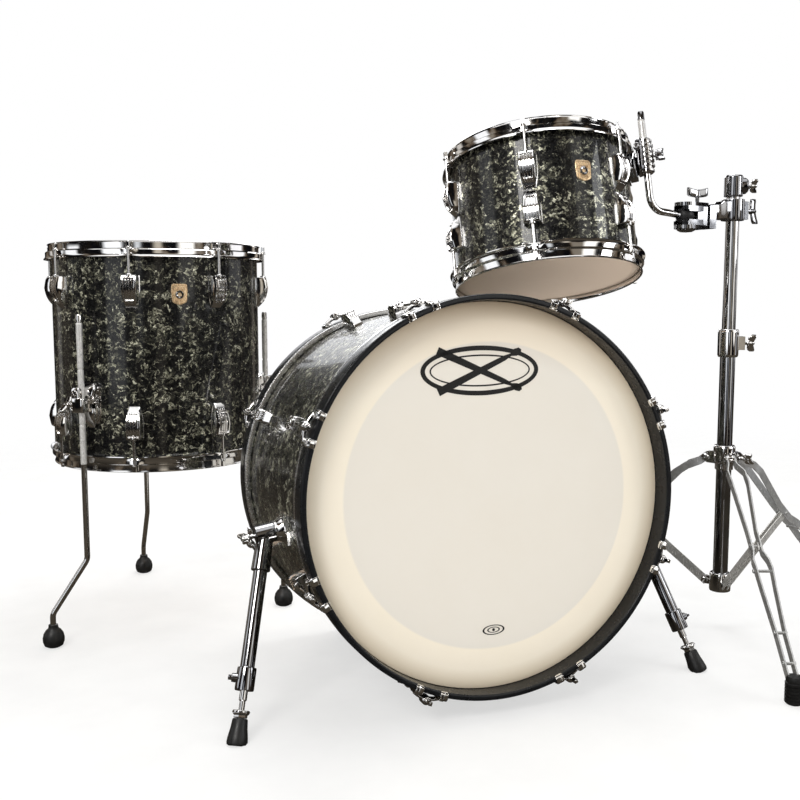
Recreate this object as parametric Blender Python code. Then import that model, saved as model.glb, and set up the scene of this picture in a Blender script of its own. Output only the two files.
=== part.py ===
"""Acoustic drum kit: a bass drum on two spurs, a floor tom on three legs, and a rack tom on a tripod stand.

Metres, +Z up. +X is the audience's right, +Y points to the drummer, and the bass drum's front head faces -Y.
Every drum is modelled round its own axis in the frame of an empty, and each moving piece hangs from an empty
or has its own origin on its joint's axis.
"""
import math

import bmesh
import bpy
from mathutils import Matrix, Vector

GAP = 0.0003              # clearance between pieces that touch

# The kit's root: moves the model so that the middle of its footprint is the origin.
ROOT = (-0.1455, -0.4385, 0.0)

# Bass drum, 24 by 16 inches. Its own frame has +Z to the front and +Y up, from the rear hoop's free edge.
BASS_RADIUS = 0.3048
BASS_DEPTH = 0.4064
BASS_WALL = 0.007
BASS_HOOP_REACH = 0.033   # a hoop's free edge beyond the shell's end
BASS_HOOP_WIDTH = 0.038
BASS_HOOP_INNER = 0.3066
BASS_HOOP_OUTER = 0.3160
BASS_TILT = math.radians(3.6)
BASS_LENGTH = BASS_DEPTH + 2 * BASS_HOOP_REACH
BASS_RODS = 8
BASS_FIRST_ROD = math.radians(22.5)
BASS_ROD_RADIUS = 0.3275  # the rods' pitch circle
BASS_LUG_LENGTH = 0.050
BASS_LUG_INSET = 0.056    # from the shell's end to the lug
CLAW_SPREAD = math.radians(3.9)
CLAW_WIDTH = 0.012
CLAW_THICKNESS = 0.0036
CLAW_LENGTH = 0.026       # how far a claw runs back over the hoop's outside
LUG_ROOT = 0.004          # how deep a fitting's foot sits in the shell
ROUND_BASS = 36           # facets round the bass drum
ROUND_TOM = 28            # facets round a tom

# Spurs, mirrored at the two sides of the bass drum.
SPUR_PIVOT = Vector((0.333, 0.165, 0.280))
SPUR_TOE = Vector((0.408, 0.035, 0.0))
SPUR_TUBE_RADIUS = 0.0110
SPUR_ROD_RADIUS = 0.0060
SPUR_BOSS_INNER = 0.0135  # the pivot boss's reach along the fold axis, to the shell and away from it
SPUR_BOSS_OUTER = 0.0175
SPUR_SLEEVE_END = 0.058   # distances down the spur from its pivot
SPUR_COLLAR_START = 0.208
SPUR_COLLAR_END = 0.242
SPUR_NUT_START = 0.272
SPUR_NUT_END = 0.282

# Toms: floor tom 16 by 16 inches, rack tom 13 by 9 inches.
FLOOR_RADIUS = 0.2032
FLOOR_DEPTH = 0.4064
FLOOR_AXIS = Vector((-0.436, 0.7064, 0.0))
FLOOR_SHELL_BASE = 0.3416
FLOOR_RODS = 8
FLOOR_FIRST_ROD = math.radians(-109)
RACK_RADIUS = 0.1651
RACK_DEPTH = 0.2286
RACK_BASE = Vector((0.2215, 0.2611, 0.678))    # middle of the bottom hoop's lower edge
RACK_UP = Vector((0.0186, 0.2554, 0.9667)).normalized()
RACK_RODS = 6
RACK_FIRST_ROD = math.radians(-4.6)
TOM_WALL = 0.006
TOM_HOOP_REACH = 0.012    # a hoop's lip beyond the shell's end
TOM_ROD_OFFSET = 0.0135   # rods' pitch circle beyond the shell
TOM_LUG_INSET = 0.052
TOM_LUG_LENGTH = 0.056

# Floor tom legs.
LEG_RADIUS = 0.0055
LEG_CIRCLE = 0.2240
LEG_TOP = 0.625
LEG_BEND = 0.163
LEG_FOOT_HEIGHT = 0.042
# One row per leg: the stem's angle round the drum and the foot's heading in degrees, and the foot's reach.
LEG_PLACES = (
    (-135.0, 175.6, 0.0655),
    (3.3, -77.2, 0.0760),
    (93.3, 93.8, 0.0760),
)
LEG_BRACKET_BOTTOM = 0.420
LEG_BRACKET_TOP = 0.492
LEG_BRACKET_WIDTH = 0.044

# Tripod stand.
STAND_AXIS = Vector((0.5916, 0.2138, 0.0))
BASE_TUBE_RADIUS = 0.0143
UPPER_TUBE_RADIUS = 0.0127
BASE_TUBE_TOP = 0.593
UPPER_TUBE_BOTTOM = 0.380
CAP_BOTTOM = 0.845
CAP_TOP = 0.886
LOWER_HUB = (0.074, 0.110)
UPPER_HUB = (0.318, 0.366)
COLLAR = (0.539, 0.593)
LEG_HEADINGS = (-110.0, 10.0, 130.0)
HUB_PIVOT = Vector((0.035, 0.0, 0.341))
BRACE_PIVOT = Vector((0.030, 0.0, 0.092))
TRIPOD_FOOT = Vector((0.370, 0.0, 0.030))
BRACE_POINT = 0.196       # from the hub's pivot down the leg to the brace's rivet
STRAP_INNER = 0.0059      # the leg's two straps, measured sideways from the leg's middle
STRAP_OUTER = 0.0089
STRAP_WIDTH = 0.015
STRAP_TAIL = 0.006        # a strap's end behind its pivot
BRACE_STRAP = (0.0033, 0.0055)

# Tom arm and its clamp.
CLAMP_HEIGHT = 0.820
CLAMP_HALF = 0.020
BALL_CENTRE = Vector((0.470, 0.1965, 0.805))
BALL_RADIUS = 0.017
ARM_RADIUS = 0.00635
ARM_BEND = 0.022
CLAMP_WING_SETBACK = 0.030
STEM_RADIUS = 0.197       # stem's distance from the rack tom's axis
STEM_ANGLE = math.radians(-34.6)
STEM_TOP = 0.300          # heights along the rack tom's axis
STEM_BOTTOM = 0.112
MOUNT_HEIGHT = 0.213      # middle of the tom mount's jaw
WING_HEADING = math.radians(-20)

WRAP = ("pearl_wrap", (0.12, 0.12, 0.11), 0.0, 0.25)
CHROME = ("chrome", (0.78, 0.78, 0.80), 1.0, 0.10)
LACQUER = ("black_lacquer", (0.012, 0.012, 0.014), 0.0, 0.15)
FILM = ("coated_head", (0.86, 0.82, 0.74), 0.0, 0.55)
RUBBER = ("black_rubber", (0.015, 0.015, 0.015), 0.0, 0.60)
NYLON = ("black_nylon", (0.020, 0.020, 0.022), 0.0, 0.45)


def clear_scene():
    for item in list(bpy.data.objects):
        bpy.data.objects.remove(item, do_unlink=True)


def polar(radius, angle, height=0.0):
    return Vector((radius * math.cos(angle), radius * math.sin(angle), height))


def turned(heading):
    return Matrix.Rotation(heading, 4, "Z")


def shifted(*offset):
    return Matrix.Translation(Vector(offset))


def aimed(direction):
    """The rotation that takes +Z to a direction."""
    return Vector((0, 0, 1)).rotation_difference(Vector(direction)).to_matrix().to_4x4()


def empty(name, parent=None, place=Matrix.Identity(4)):
    item = bpy.data.objects.new(name, None)
    bpy.context.scene.collection.objects.link(item)
    item.parent = parent
    item.matrix_basis = place
    return item


def finish_material(finish):
    name, colour, metallic, roughness = finish
    made = bpy.data.materials.new(name)
    made.use_nodes = True
    shader = made.node_tree.nodes["Principled BSDF"]
    shader.inputs["Base Color"].default_value = (*colour, 1.0)
    shader.inputs["Metallic"].default_value = metallic
    shader.inputs["Roughness"].default_value = roughness
    return made


def piece(name, shape, finish, parent, place=Matrix.Identity(4)):
    """Turn a finished bmesh into the named, shaded object of one sub-part."""
    bmesh.ops.recalc_face_normals(shape, faces=shape.faces)
    mesh = bpy.data.meshes.new(name)
    shape.to_mesh(mesh)
    shape.free()
    mesh.shade_smooth()
    mesh.set_sharp_from_angle(angle=math.radians(35))
    mesh.materials.append(finish_material(finish))
    item = bpy.data.objects.new(name, mesh)
    bpy.context.scene.collection.objects.link(item)
    item.parent = parent
    item.matrix_basis = place
    return item


def add_solid(shape, points, faces, place=Matrix.Identity(4)):
    corners = [shape.verts.new(place @ Vector(point)) for point in points]
    for face in faces:
        shape.faces.new([corners[index] for index in face])


def add_box(shape, low, high, place=Matrix.Identity(4)):
    add_wedge(shape, low, high, high[1] - low[1], high[1] - low[1], high[0], place)


def add_wedge(shape, low, high, width_low, width_high, reach_high, place=Matrix.Identity(4)):
    """A block from low to high whose width (Y) and reach (+X) change from its bottom to its top."""
    middle = (low[1] + high[1]) / 2
    points = []
    for height, width, reach in ((low[2], width_low, high[0]), (high[2], width_high, reach_high)):
        points += [
            (low[0], middle - width / 2, height),
            (reach, middle - width / 2, height),
            (reach, middle + width / 2, height),
            (low[0], middle + width / 2, height),
        ]
    faces = [(0, 3, 2, 1), (4, 5, 6, 7)]
    faces += [(side, (side + 1) % 4, (side + 1) % 4 + 4, side + 4) for side in range(4)]
    add_solid(shape, points, faces, place)


def add_lathe(shape, profile, facets, place=Matrix.Identity(4), closed=True):
    """Turn (radius, height) points round Z. A closed profile makes a ring; an open one ends on the axis."""
    columns = []
    for radius, height in profile:
        if radius == 0:
            columns.append([shape.verts.new(place @ Vector((0, 0, height)))] * facets)
            continue
        turn = [polar(radius, 2 * math.pi * step / facets, height) for step in range(facets)]
        columns.append([shape.verts.new(place @ point) for point in turn])
    pairs = list(zip(columns, columns[1:]))
    if closed:
        pairs.append((columns[-1], columns[0]))
    for one, two in pairs:
        for step in range(facets):
            after = (step + 1) % facets
            corners = [one[step], one[after], two[after], two[step]]
            shape.faces.new(list(dict.fromkeys(corners)))


def add_rod(shape, start, end, radius, facets=12, end_radius=None):
    """A straight round bar, tapered when it has a second radius."""
    start = Vector(start)
    axis = Vector(end) - start
    tip = radius if end_radius is None else end_radius
    profile = [(0, 0), (radius, 0), (tip, axis.length), (0, axis.length)]
    add_lathe(shape, profile, facets, Matrix.Translation(start) @ aimed(axis), closed=False)


def rounded(corners, radius, steps=5):
    """The corner points of a bent bar, with each inner corner as an arc."""
    path = [Vector(corners[0])]
    for before, corner, after in zip(corners, corners[1:], corners[2:]):
        arrive = (Vector(corner) - Vector(before)).normalized()
        leave = (Vector(after) - Vector(corner)).normalized()
        turn = arrive.angle(leave)
        centre_way = (leave - arrive).normalized()
        centre = Vector(corner) + centre_way * (radius / math.cos(turn / 2))
        start = Vector(corner) - arrive * (radius * math.tan(turn / 2))
        axis = arrive.cross(leave).normalized()
        for step in range(steps + 1):
            spin = Matrix.Rotation(turn * step / steps, 3, axis)
            path.append(centre + spin @ (start - centre))
    path.append(Vector(corners[-1]))
    return path


def add_sweep(shape, path, radius, facets=12):
    """A round bar along a list of points, with flat ends."""
    ways = [(after - before).normalized() for before, after in zip(path, path[1:])]
    ways = [ways[0]] + [(one + two).normalized() for one, two in zip(ways, ways[1:])] + [ways[-1]]
    side = ways[0].orthogonal().normalized()
    rings = []
    for point, way in zip(path, ways):
        side = (side - way * side.dot(way)).normalized()
        other = way.cross(side)
        ring = []
        for step in range(facets):
            angle = 2 * math.pi * step / facets
            ring.append(shape.verts.new(point + radius * (math.cos(angle) * side + math.sin(angle) * other)))
        rings.append(ring)
    for one, two in zip(rings, rings[1:]):
        for step in range(facets):
            after = (step + 1) % facets
            shape.faces.new((one[step], one[after], two[after], two[step]))
    shape.faces.new(list(reversed(rings[0])))
    shape.faces.new(rings[-1])


def scratch_object(shape):
    bmesh.ops.recalc_face_normals(shape, faces=shape.faces)
    mesh = bpy.data.meshes.new("scratch")
    shape.to_mesh(mesh)
    shape.free()
    item = bpy.data.objects.new("scratch", mesh)
    bpy.context.scene.collection.objects.link(item)
    return item


def combined(base, tool, operation):
    """Join a tool bmesh to a base bmesh, or cut it out of it, and return the result."""
    body = scratch_object(base)
    other = scratch_object(tool)
    change = body.modifiers.new("combine", "BOOLEAN")
    change.operation = operation
    change.solver = "EXACT"
    change.use_self = True
    change.object = other
    bpy.context.view_layer.update()
    mesh = bpy.data.meshes.new_from_object(body.evaluated_get(bpy.context.evaluated_depsgraph_get()))
    result = bmesh.new()
    result.from_mesh(mesh)
    for item in (body, other):
        bpy.data.objects.remove(item, do_unlink=True)
    return result


def joined(base, tool):
    return combined(base, tool, "UNION")


def cut(base, tool):
    return combined(base, tool, "DIFFERENCE")


def wing_screw(name, parent, place, half_span, shank=0.006, knob=0.006):
    """A thumb screw along +Z: a shank, a round hub and a flat bar with two lobes."""
    shape = bmesh.new()
    hub_end = shank + 0.014
    add_rod(shape, (0, 0, 0), (0, 0, shank + 0.002), 0.0038, 8)
    tool = bmesh.new()
    add_rod(tool, (0, 0, shank), (0, 0, hub_end), knob, 8, knob * 0.8)
    low = shank + 0.004
    for side in (-1, 1):
        lean = Matrix.Rotation(math.radians(12 * side), 4, "Y")
        spread = shifted(side * half_span / 2, 0, low + 0.005) @ lean
        add_box(tool, (-half_span / 2, -0.0034, -0.005), (half_span / 2, 0.0034, 0.007), spread)
    piece(name, joined(shape, tool), CHROME, parent, place)


def drum_shell(radius, wall, depth, facets):
    """A plain cylinder with a bevelled bearing edge at each end, from z = 0 up."""
    edge = 0.002
    profile = [
        (radius, 0),
        (radius, depth),
        (radius - edge, depth),
        (radius - wall, depth - wall + edge),
        (radius - wall, wall - edge),
        (radius - edge, 0),
    ]
    shape = bmesh.new()
    add_lathe(shape, profile, facets)
    return shape


def drum_head(radius, flesh_reach, drop, facets, place):
    """A film with its collar and flesh hoop, over a shell's end at z = 0."""
    film = 0.0008
    profile = [
        (0, GAP + film),
        (radius + 0.0012, GAP + film),
        (radius + 0.0015, -drop),
        (radius + flesh_reach, -drop),
        (radius + flesh_reach, -drop - 0.010),
        (radius + 0.0009, -drop - 0.010),
        (radius + 0.0006, GAP),
        (0, GAP),
    ]
    shape = bmesh.new()
    add_lathe(shape, profile, facets, place, closed=False)
    return shape


def lug(shape, radius, angle, start, way, length, reach_near, reach_far, width_near, width_far):
    """One tapered lug that starts at a height and runs along +Z or -Z, standing on the shell."""
    place = turned(angle) @ shifted(0, 0, start)
    if way < 0:
        place = place @ Matrix.Scale(-1, 4, (0, 0, 1))
    low = (radius - LUG_ROOT, -width_near / 2, 0)
    high = (radius + reach_near, width_near / 2, length)
    add_wedge(shape, low, high, width_near, width_far, radius + reach_far, place)


def rod_angles(count, first):
    return [first + 2 * math.pi * step / count for step in range(count)]


# ---------------------------------------------------------------- bass drum

def spur_seat(bass, spur_frame):
    """Where a spur's pivot is in the bass shell's frame: its angle, its radius and its height."""
    shell_frame = bass.matrix_world @ shifted(0, 0, BASS_HOOP_REACH)
    pivot = shell_frame.inverted() @ spur_frame.matrix_world.translation
    return math.atan2(pivot.y, pivot.x), math.hypot(pivot.x, pivot.y), pivot.z


def bass_shell(frame, spur_frames):
    shape = drum_shell(BASS_RADIUS, BASS_WALL, BASS_DEPTH, ROUND_BASS)
    fittings = bmesh.new()
    for angle in rod_angles(BASS_RODS, BASS_FIRST_ROD):
        for start, way in ((BASS_LUG_INSET, 1), (BASS_DEPTH - BASS_LUG_INSET, -1)):
            lug(fittings, BASS_RADIUS, angle, start, way, BASS_LUG_LENGTH, 0.029, 0.014, 0.024, 0.016)
    for spur_frame in spur_frames:
        angle, radius, height = spur_seat(frame, spur_frame)
        place = turned(angle) @ shifted(0, 0, height)
        add_box(fittings, (BASS_RADIUS - 0.0035, -0.024, -0.032), (BASS_RADIUS + 0.006, 0.024, 0.032), place)
        foot = place @ Vector((BASS_RADIUS - 0.002, 0, 0))
        add_rod(fittings, foot, place @ Vector((radius - SPUR_BOSS_INNER - GAP, 0, 0)), 0.021, 12, 0.0165)
    piece("bass_shell", joined(shape, fittings), WRAP, frame, shifted(0, 0, BASS_HOOP_REACH))


def bass_end(front):
    """The matrix from an end's own frame (z = 0 at the hoop's free edge, inwards negative) to the drum's."""
    if front:
        return shifted(0, 0, BASS_LENGTH)
    return Matrix.Scale(-1, 4, (0, 0, 1))


def bass_hoop_ring(place):
    soft = 0.002
    profile = [
        (BASS_HOOP_OUTER, -BASS_HOOP_WIDTH + soft),
        (BASS_HOOP_OUTER, -soft),
        (BASS_HOOP_OUTER - soft, 0),
        (BASS_HOOP_INNER + soft, 0),
        (BASS_HOOP_INNER, -soft),
        (BASS_HOOP_INNER, -BASS_HOOP_WIDTH),
        (BASS_HOOP_OUTER - soft, -BASS_HOOP_WIDTH),
    ]
    shape = bmesh.new()
    add_lathe(shape, profile, ROUND_BASS, place)
    return shape


def key_rod_profile():
    """A key rod with its boss and its square head, from the lug's near end to beyond the hoop's edge."""
    rod_end = -(BASS_HOOP_REACH + BASS_LUG_INSET) + GAP
    return [
        (0, rod_end),
        (0.0032, rod_end),
        (0.0032, -0.026),
        (0.0070, -0.025),
        (0.0070, 0.003),
        (0.0046, 0.004),
        (0.0046, 0.012),
        (0, 0.012),
    ]


def claw_solids(angle, place):
    """Two hooks over a hoop's edge, the yoke between them and the key rod that runs back to the lug."""
    seat = BASS_HOOP_OUTER + GAP
    tip = GAP + CLAW_THICKNESS
    half = CLAW_WIDTH / 2
    hooks = bmesh.new()
    for side in (-1, 1):
        turn = place @ turned(angle + side * CLAW_SPREAD)
        add_box(hooks, (seat, -half, -CLAW_LENGTH), (seat + 0.0045, half, tip), turn)
        add_box(hooks, (seat - 0.0085, -half, GAP), (seat + 0.002, half, tip), turn)
    middle = place @ turned(angle)
    yoke = bmesh.new()
    half = BASS_HOOP_OUTER * math.sin(CLAW_SPREAD)
    add_box(yoke, (seat + 0.0002, -half, -0.022), (BASS_ROD_RADIUS, half, -0.011), middle)
    add_lathe(yoke, key_rod_profile(), 6, middle @ shifted(BASS_ROD_RADIUS, 0, 0), closed=False)
    return hooks, yoke


def bass_hoops(frame):
    front = bass_end(True)
    piece("bass_front_hoop", bass_hoop_ring(front), LACQUER, frame)
    for number, angle in enumerate(rod_angles(BASS_RODS, BASS_FIRST_ROD), 1):
        hooks, yoke = claw_solids(angle, front)
        piece(f"bass_claw_{number}", joined(yoke, hooks), CHROME, frame)
    rear = bass_end(False)
    shape = bass_hoop_ring(rear)
    hardware = bmesh.new()
    half = BASS_HOOP_OUTER * math.sin(CLAW_SPREAD) + CLAW_WIDTH / 2
    for angle in rod_angles(BASS_RODS, BASS_FIRST_ROD):
        middle = rear @ turned(angle)
        low = (BASS_HOOP_OUTER - 0.008, -half, -CLAW_LENGTH)
        add_box(hardware, low, (BASS_HOOP_OUTER + 0.0065, half, CLAW_THICKNESS), middle)
        add_lathe(hardware, key_rod_profile(), 6, middle @ shifted(BASS_ROD_RADIUS, 0, 0), closed=False)
    piece("bass_rear_hoop", joined(shape, hardware), LACQUER, frame)


def bass_heads(frame):
    for name, front in (("bass_front_head", True), ("bass_rear_head", False)):
        place = bass_end(front) @ shifted(0, 0, -BASS_HOOP_REACH)
        shape = drum_head(BASS_RADIUS, 0.0074, 0.0055, ROUND_BASS, place)
        piece(name, shape, FILM, frame)


def spur(side, frame, bass):
    """One spur round its pivot. It folds about an axis square to the shell, and its leg splays outward."""
    tag = "left" if side < 0 else "right"
    outward = bass.matrix_world.to_3x3() @ polar(1, spur_seat(bass, frame)[0])
    leg = Vector((side * (SPUR_TOE.x - SPUR_PIVOT.x), SPUR_TOE.y - SPUR_PIVOT.y, SPUR_TOE.z - SPUR_PIVOT.z))
    down = leg.normalized()

    sleeve = 0.0140
    bore = SPUR_ROD_RADIUS + 0.0005
    profile = [
        (0, 0.003),
        (sleeve, 0.003),
        (sleeve - 0.001, SPUR_SLEEVE_END),
        (SPUR_TUBE_RADIUS, SPUR_SLEEVE_END + 0.001),
        (SPUR_TUBE_RADIUS, SPUR_COLLAR_START),
        (sleeve, SPUR_COLLAR_START + 0.001),
        (sleeve, SPUR_COLLAR_END),
        (bore, SPUR_COLLAR_END),
        (bore, 0.085),
        (0, 0.085),
    ]
    shape = bmesh.new()
    add_lathe(shape, profile, 12, aimed(down), closed=False)
    tool = bmesh.new()
    add_rod(tool, outward * -SPUR_BOSS_INNER, outward * SPUR_BOSS_OUTER, 0.0165, 12)
    bolt_place = down * ((SPUR_COLLAR_START + SPUR_COLLAR_END) / 2)
    add_rod(tool, bolt_place + outward * 0.010, bolt_place + outward * 0.026, 0.0065, 10)
    piece(f"spur_tube_{tag}", joined(shape, tool), CHROME, frame)

    slide = empty(f"spur_slide_{tag}", frame, Matrix.Translation(down * SPUR_NUT_START))
    shape = bmesh.new()
    add_rod(shape, down * (0.110 - SPUR_NUT_START), down * 0.002, SPUR_ROD_RADIUS, 12)
    tool = bmesh.new()
    add_rod(tool, (0, 0, 0), down * (SPUR_NUT_END - SPUR_NUT_START), 0.0125, 6)
    piece(f"spur_rod_{tag}", joined(shape, tool), CHROME, slide)

    tip_place = Matrix.Translation(down * (SPUR_NUT_END + GAP - SPUR_NUT_START))
    tip_frame = empty(f"spur_tip_frame_{tag}", slide, tip_place)
    past = leg.length - SPUR_NUT_END
    shape = bmesh.new()
    profile = [
        (0, 0),
        (0.0125, 0),
        (0.0145, 0.006),
        (0.0165, past * 0.6),
        (0.0160, past + 0.002),
        (0, past + 0.002),
    ]
    add_lathe(shape, profile, 16, aimed(down), closed=False)
    floor_height = -(SPUR_PIVOT.z + down.z * (SPUR_NUT_END + GAP))
    flat = bmesh.ops.bisect_plane(
        shape,
        geom=shape.verts[:] + shape.edges[:] + shape.faces[:],
        plane_co=(0, 0, floor_height),
        plane_no=(0, 0, -1),
        clear_outer=True,
    )
    rim = [part for part in flat["geom_cut"] if isinstance(part, bmesh.types.BMEdge)]
    bmesh.ops.contextual_create(shape, geom=rim)
    piece(f"spur_tip_{tag}", shape, RUBBER, tip_frame)

    screw = Matrix.Translation(outward * (SPUR_BOSS_OUTER + GAP))
    wing_screw(f"spur_wing_{tag}", frame, screw @ aimed(outward) @ turned(math.pi / 2), 0.024, 0.008)


# ---------------------------------------------------------------- toms

def tom_hoop(radius, count, first, place):
    """A triple-flanged hoop over a shell's end at z = 0, with its key rods down to the lugs."""
    outline = (
        (5.5, 12.0), (4.2, -3.2), (9.8, -4.0), (9.8, -15.0), (14.9, -19.6),
        (7.4, -17.4), (7.4, -5.6), (2.0, -5.2), (2.0, 12.0),
    )
    shape = bmesh.new()
    profile = [(radius + reach / 1000, height / 1000) for reach, height in outline]
    add_lathe(shape, profile, ROUND_TOM, place)
    rods = bmesh.new()
    for angle in rod_angles(count, first):
        foot = place @ polar(radius + TOM_ROD_OFFSET, angle, -TOM_LUG_INSET + GAP)
        add_rod(rods, foot, place @ polar(radius + TOM_ROD_OFFSET, angle, -0.0065), 0.0032, 6)
    return joined(shape, rods)


def tom_lugs(shape, radius, depth, count, first):
    for angle in rod_angles(count, first):
        for start, way in ((TOM_LUG_INSET, 1), (depth - TOM_LUG_INSET, -1)):
            lug(shape, radius, angle, start, way, TOM_LUG_LENGTH, 0.022, 0.012, 0.032, 0.020)


def tom_covers(prefix, frame, radius, depth, count, first):
    """The heads and hoops of a tom whose shell starts at z = 0 of its frame."""
    top = shifted(0, 0, depth)
    bottom = Matrix.Scale(-1, 4, (0, 0, 1))
    for end, place in (("top", top), ("bottom", bottom)):
        head = drum_head(radius, 0.0069, 0.0060, ROUND_TOM, place)
        piece(f"{prefix}_{end}_head", head, FILM, frame)
        hoop = tom_hoop(radius, count, first, place)
        piece(f"{prefix}_{end}_hoop", hoop, CHROME, frame)


def floor_tom(frame):
    drum = empty("floor_drum_frame", frame, shifted(0, 0, FLOOR_SHELL_BASE))
    fittings = bmesh.new()
    tom_lugs(fittings, FLOOR_RADIUS, FLOOR_DEPTH, FLOOR_RODS, FLOOR_FIRST_ROD)
    low = LEG_BRACKET_BOTTOM - FLOOR_SHELL_BASE
    high = LEG_BRACKET_TOP - FLOOR_SHELL_BASE
    for stem, _, _ in LEG_PLACES:
        place = turned(math.radians(stem))
        near = (FLOOR_RADIUS - LUG_ROOT, -LEG_BRACKET_WIDTH / 2, low)
        add_box(fittings, near, (LEG_CIRCLE + 0.012, LEG_BRACKET_WIDTH / 2, high), place)
    body = joined(drum_shell(FLOOR_RADIUS, TOM_WALL, FLOOR_DEPTH, ROUND_TOM), fittings)
    bores = bmesh.new()
    for stem, _, _ in LEG_PLACES:
        foot = polar(LEG_CIRCLE, math.radians(stem), low - 0.01)
        add_rod(bores, foot, foot + Vector((0, 0, high - low + 0.02)), LEG_RADIUS + 0.0005, 12)
    piece("floor_tom_shell", cut(body, bores), WRAP, drum)
    tom_covers("floor_tom", drum, FLOOR_RADIUS, FLOOR_DEPTH, FLOOR_RODS, FLOOR_FIRST_ROD)
    for number, (stem, heading, reach) in enumerate(LEG_PLACES, 1):
        floor_leg(number, frame, math.radians(stem), polar(reach, math.radians(heading)))


def floor_leg(number, frame, stem, foot):
    slide = empty(f"floor_leg_frame_{number}", frame, Matrix.Translation(polar(LEG_CIRCLE, stem)))
    corners = [
        Vector((0, 0, LEG_TOP)),
        Vector((0, 0, LEG_BEND)),
        foot + Vector((0, 0, LEG_FOOT_HEIGHT + 0.020)),
        foot + Vector((0, 0, LEG_FOOT_HEIGHT + GAP)),
    ]
    shape = bmesh.new()
    add_sweep(shape, rounded(corners, 0.018), LEG_RADIUS, 10)
    piece(f"floor_leg_{number}", shape, CHROME, slide)
    shape = bmesh.new()
    profile = [(0, 0), (0.012, 0), (0.018, 0.006), (0.020, 0.016), (0.017, 0.028), (0.010, 0.036)]
    profile += [(0.009, LEG_FOOT_HEIGHT), (0, LEG_FOOT_HEIGHT)]
    add_lathe(shape, profile, 12, closed=False)
    piece(f"floor_foot_{number}", shape, RUBBER, slide, Matrix.Translation(foot))
    height = (LEG_BRACKET_BOTTOM + LEG_BRACKET_TOP) / 2
    across = polar(1, stem - math.pi / 2)
    screw = polar(LEG_CIRCLE, stem, height) + across * (LEG_BRACKET_WIDTH / 2 + GAP)
    wing_screw(f"floor_wing_{number}", frame, Matrix.Translation(screw) @ aimed(across), 0.019)


def rack_tom(frame):
    """The rack tom in a frame on the middle of its bottom hoop's lower edge, with +Z along its axis."""
    drum = empty("rack_drum_frame", frame, shifted(0, 0, TOM_HOOP_REACH))
    fittings = bmesh.new()
    tom_lugs(fittings, RACK_RADIUS, RACK_DEPTH, RACK_RODS, RACK_FIRST_ROD)
    body = joined(drum_shell(RACK_RADIUS, TOM_WALL, RACK_DEPTH, ROUND_TOM), fittings)
    piece("rack_tom_shell", body, WRAP, drum)
    tom_covers("rack_tom", drum, RACK_RADIUS, RACK_DEPTH, RACK_RODS, RACK_FIRST_ROD)

    place = turned(STEM_ANGLE) @ shifted(0, 0, MOUNT_HEIGHT)
    shape = bmesh.new()
    add_box(shape, (RACK_RADIUS + GAP, -0.024, -0.048), (RACK_RADIUS + 0.006, 0.024, 0.006), place)
    tool = bmesh.new()
    add_box(tool, (RACK_RADIUS + 0.004, -0.018, -0.044), (RACK_RADIUS + 0.019, 0.018, 0.004), place)
    add_box(tool, (RACK_RADIUS + 0.017, -0.014, -0.031), (STEM_RADIUS + 0.011, 0.014, 0.031), place)
    eye = bmesh.new()
    stem = polar(STEM_RADIUS, STEM_ANGLE, MOUNT_HEIGHT - 0.04)
    add_rod(eye, stem, stem + Vector((0, 0, 0.08)), ARM_RADIUS + 0.0005, 12)
    piece("tom_mount", cut(joined(shape, tool), eye), CHROME, frame)
    outward = polar(1, STEM_ANGLE)
    screw = polar(STEM_RADIUS + 0.011 + GAP, STEM_ANGLE, MOUNT_HEIGHT)
    lever = Matrix.Translation(screw) @ aimed(outward) @ turned(math.pi / 2)
    wing_screw("tom_mount_wing", frame, lever, 0.020, 0.006, 0.011)


# ---------------------------------------------------------------- stand

def ring_profile(inner, outer, low, high):
    return [(outer, low), (outer, high), (inner, high), (inner, low)]


def stand_base(frame):
    shape = bmesh.new()
    bottom = LOWER_HUB[0]
    inside = UPPER_TUBE_RADIUS + GAP
    add_lathe(shape, ring_profile(inside, BASE_TUBE_RADIUS, bottom + 0.001, BASE_TUBE_TOP - 0.001), 20)
    bands = bmesh.new()
    inner = BASE_TUBE_RADIUS - 0.0006
    for low, high, outer in ((*LOWER_HUB, 0.0205), (*COLLAR, 0.0195)):
        add_lathe(bands, ring_profile(inner, outer, low, high), 20)
    for heading in LEG_HEADINGS:
        place = turned(math.radians(heading))
        add_box(bands, (0.016, -0.0030, 0.082), (BRACE_PIVOT.x + 0.006, 0.0030, 0.102), place)
    add_box(bands, (0.016, -0.010, 0.552), (0.030, 0.010, 0.580), turned(WING_HEADING))
    piece("stand_base_tube", joined(shape, bands), CHROME, frame)
    out = polar(1, WING_HEADING)
    screw = Matrix.Translation(out * (0.030 + GAP) + Vector((0, 0, 0.566)))
    wing_screw("collar_wing", frame, screw @ aimed(out), 0.017)


def stand_hub(frame):
    hub = empty("hub_frame", frame, shifted(0, 0, HUB_PIVOT.z))
    low, high = (height - HUB_PIVOT.z for height in UPPER_HUB)
    shape = bmesh.new()
    add_lathe(shape, ring_profile(BASE_TUBE_RADIUS + GAP, 0.0205, low, high), 20)
    ears = bmesh.new()
    for heading in LEG_HEADINGS:
        place = turned(math.radians(heading))
        add_box(ears, (0.017, -0.0055, -0.010), (HUB_PIVOT.x + 0.006, 0.0055, 0.010), place)
    wing_way = math.radians(-50)
    add_box(ears, (0.017, -0.009, -0.010), (0.030, 0.009, 0.012), turned(wing_way))
    piece("stand_hub", joined(shape, ears), CHROME, hub)
    out = polar(1, wing_way)
    screw = Matrix.Translation(out * (0.030 + GAP) + Vector((0, 0, 0.001)))
    wing_screw("hub_wing", hub, screw @ aimed(out), 0.017)
    for number, heading in enumerate(LEG_HEADINGS, 1):
        tripod_leg(number, hub, math.radians(heading))
        tripod_brace(number, frame, math.radians(heading))


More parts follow.
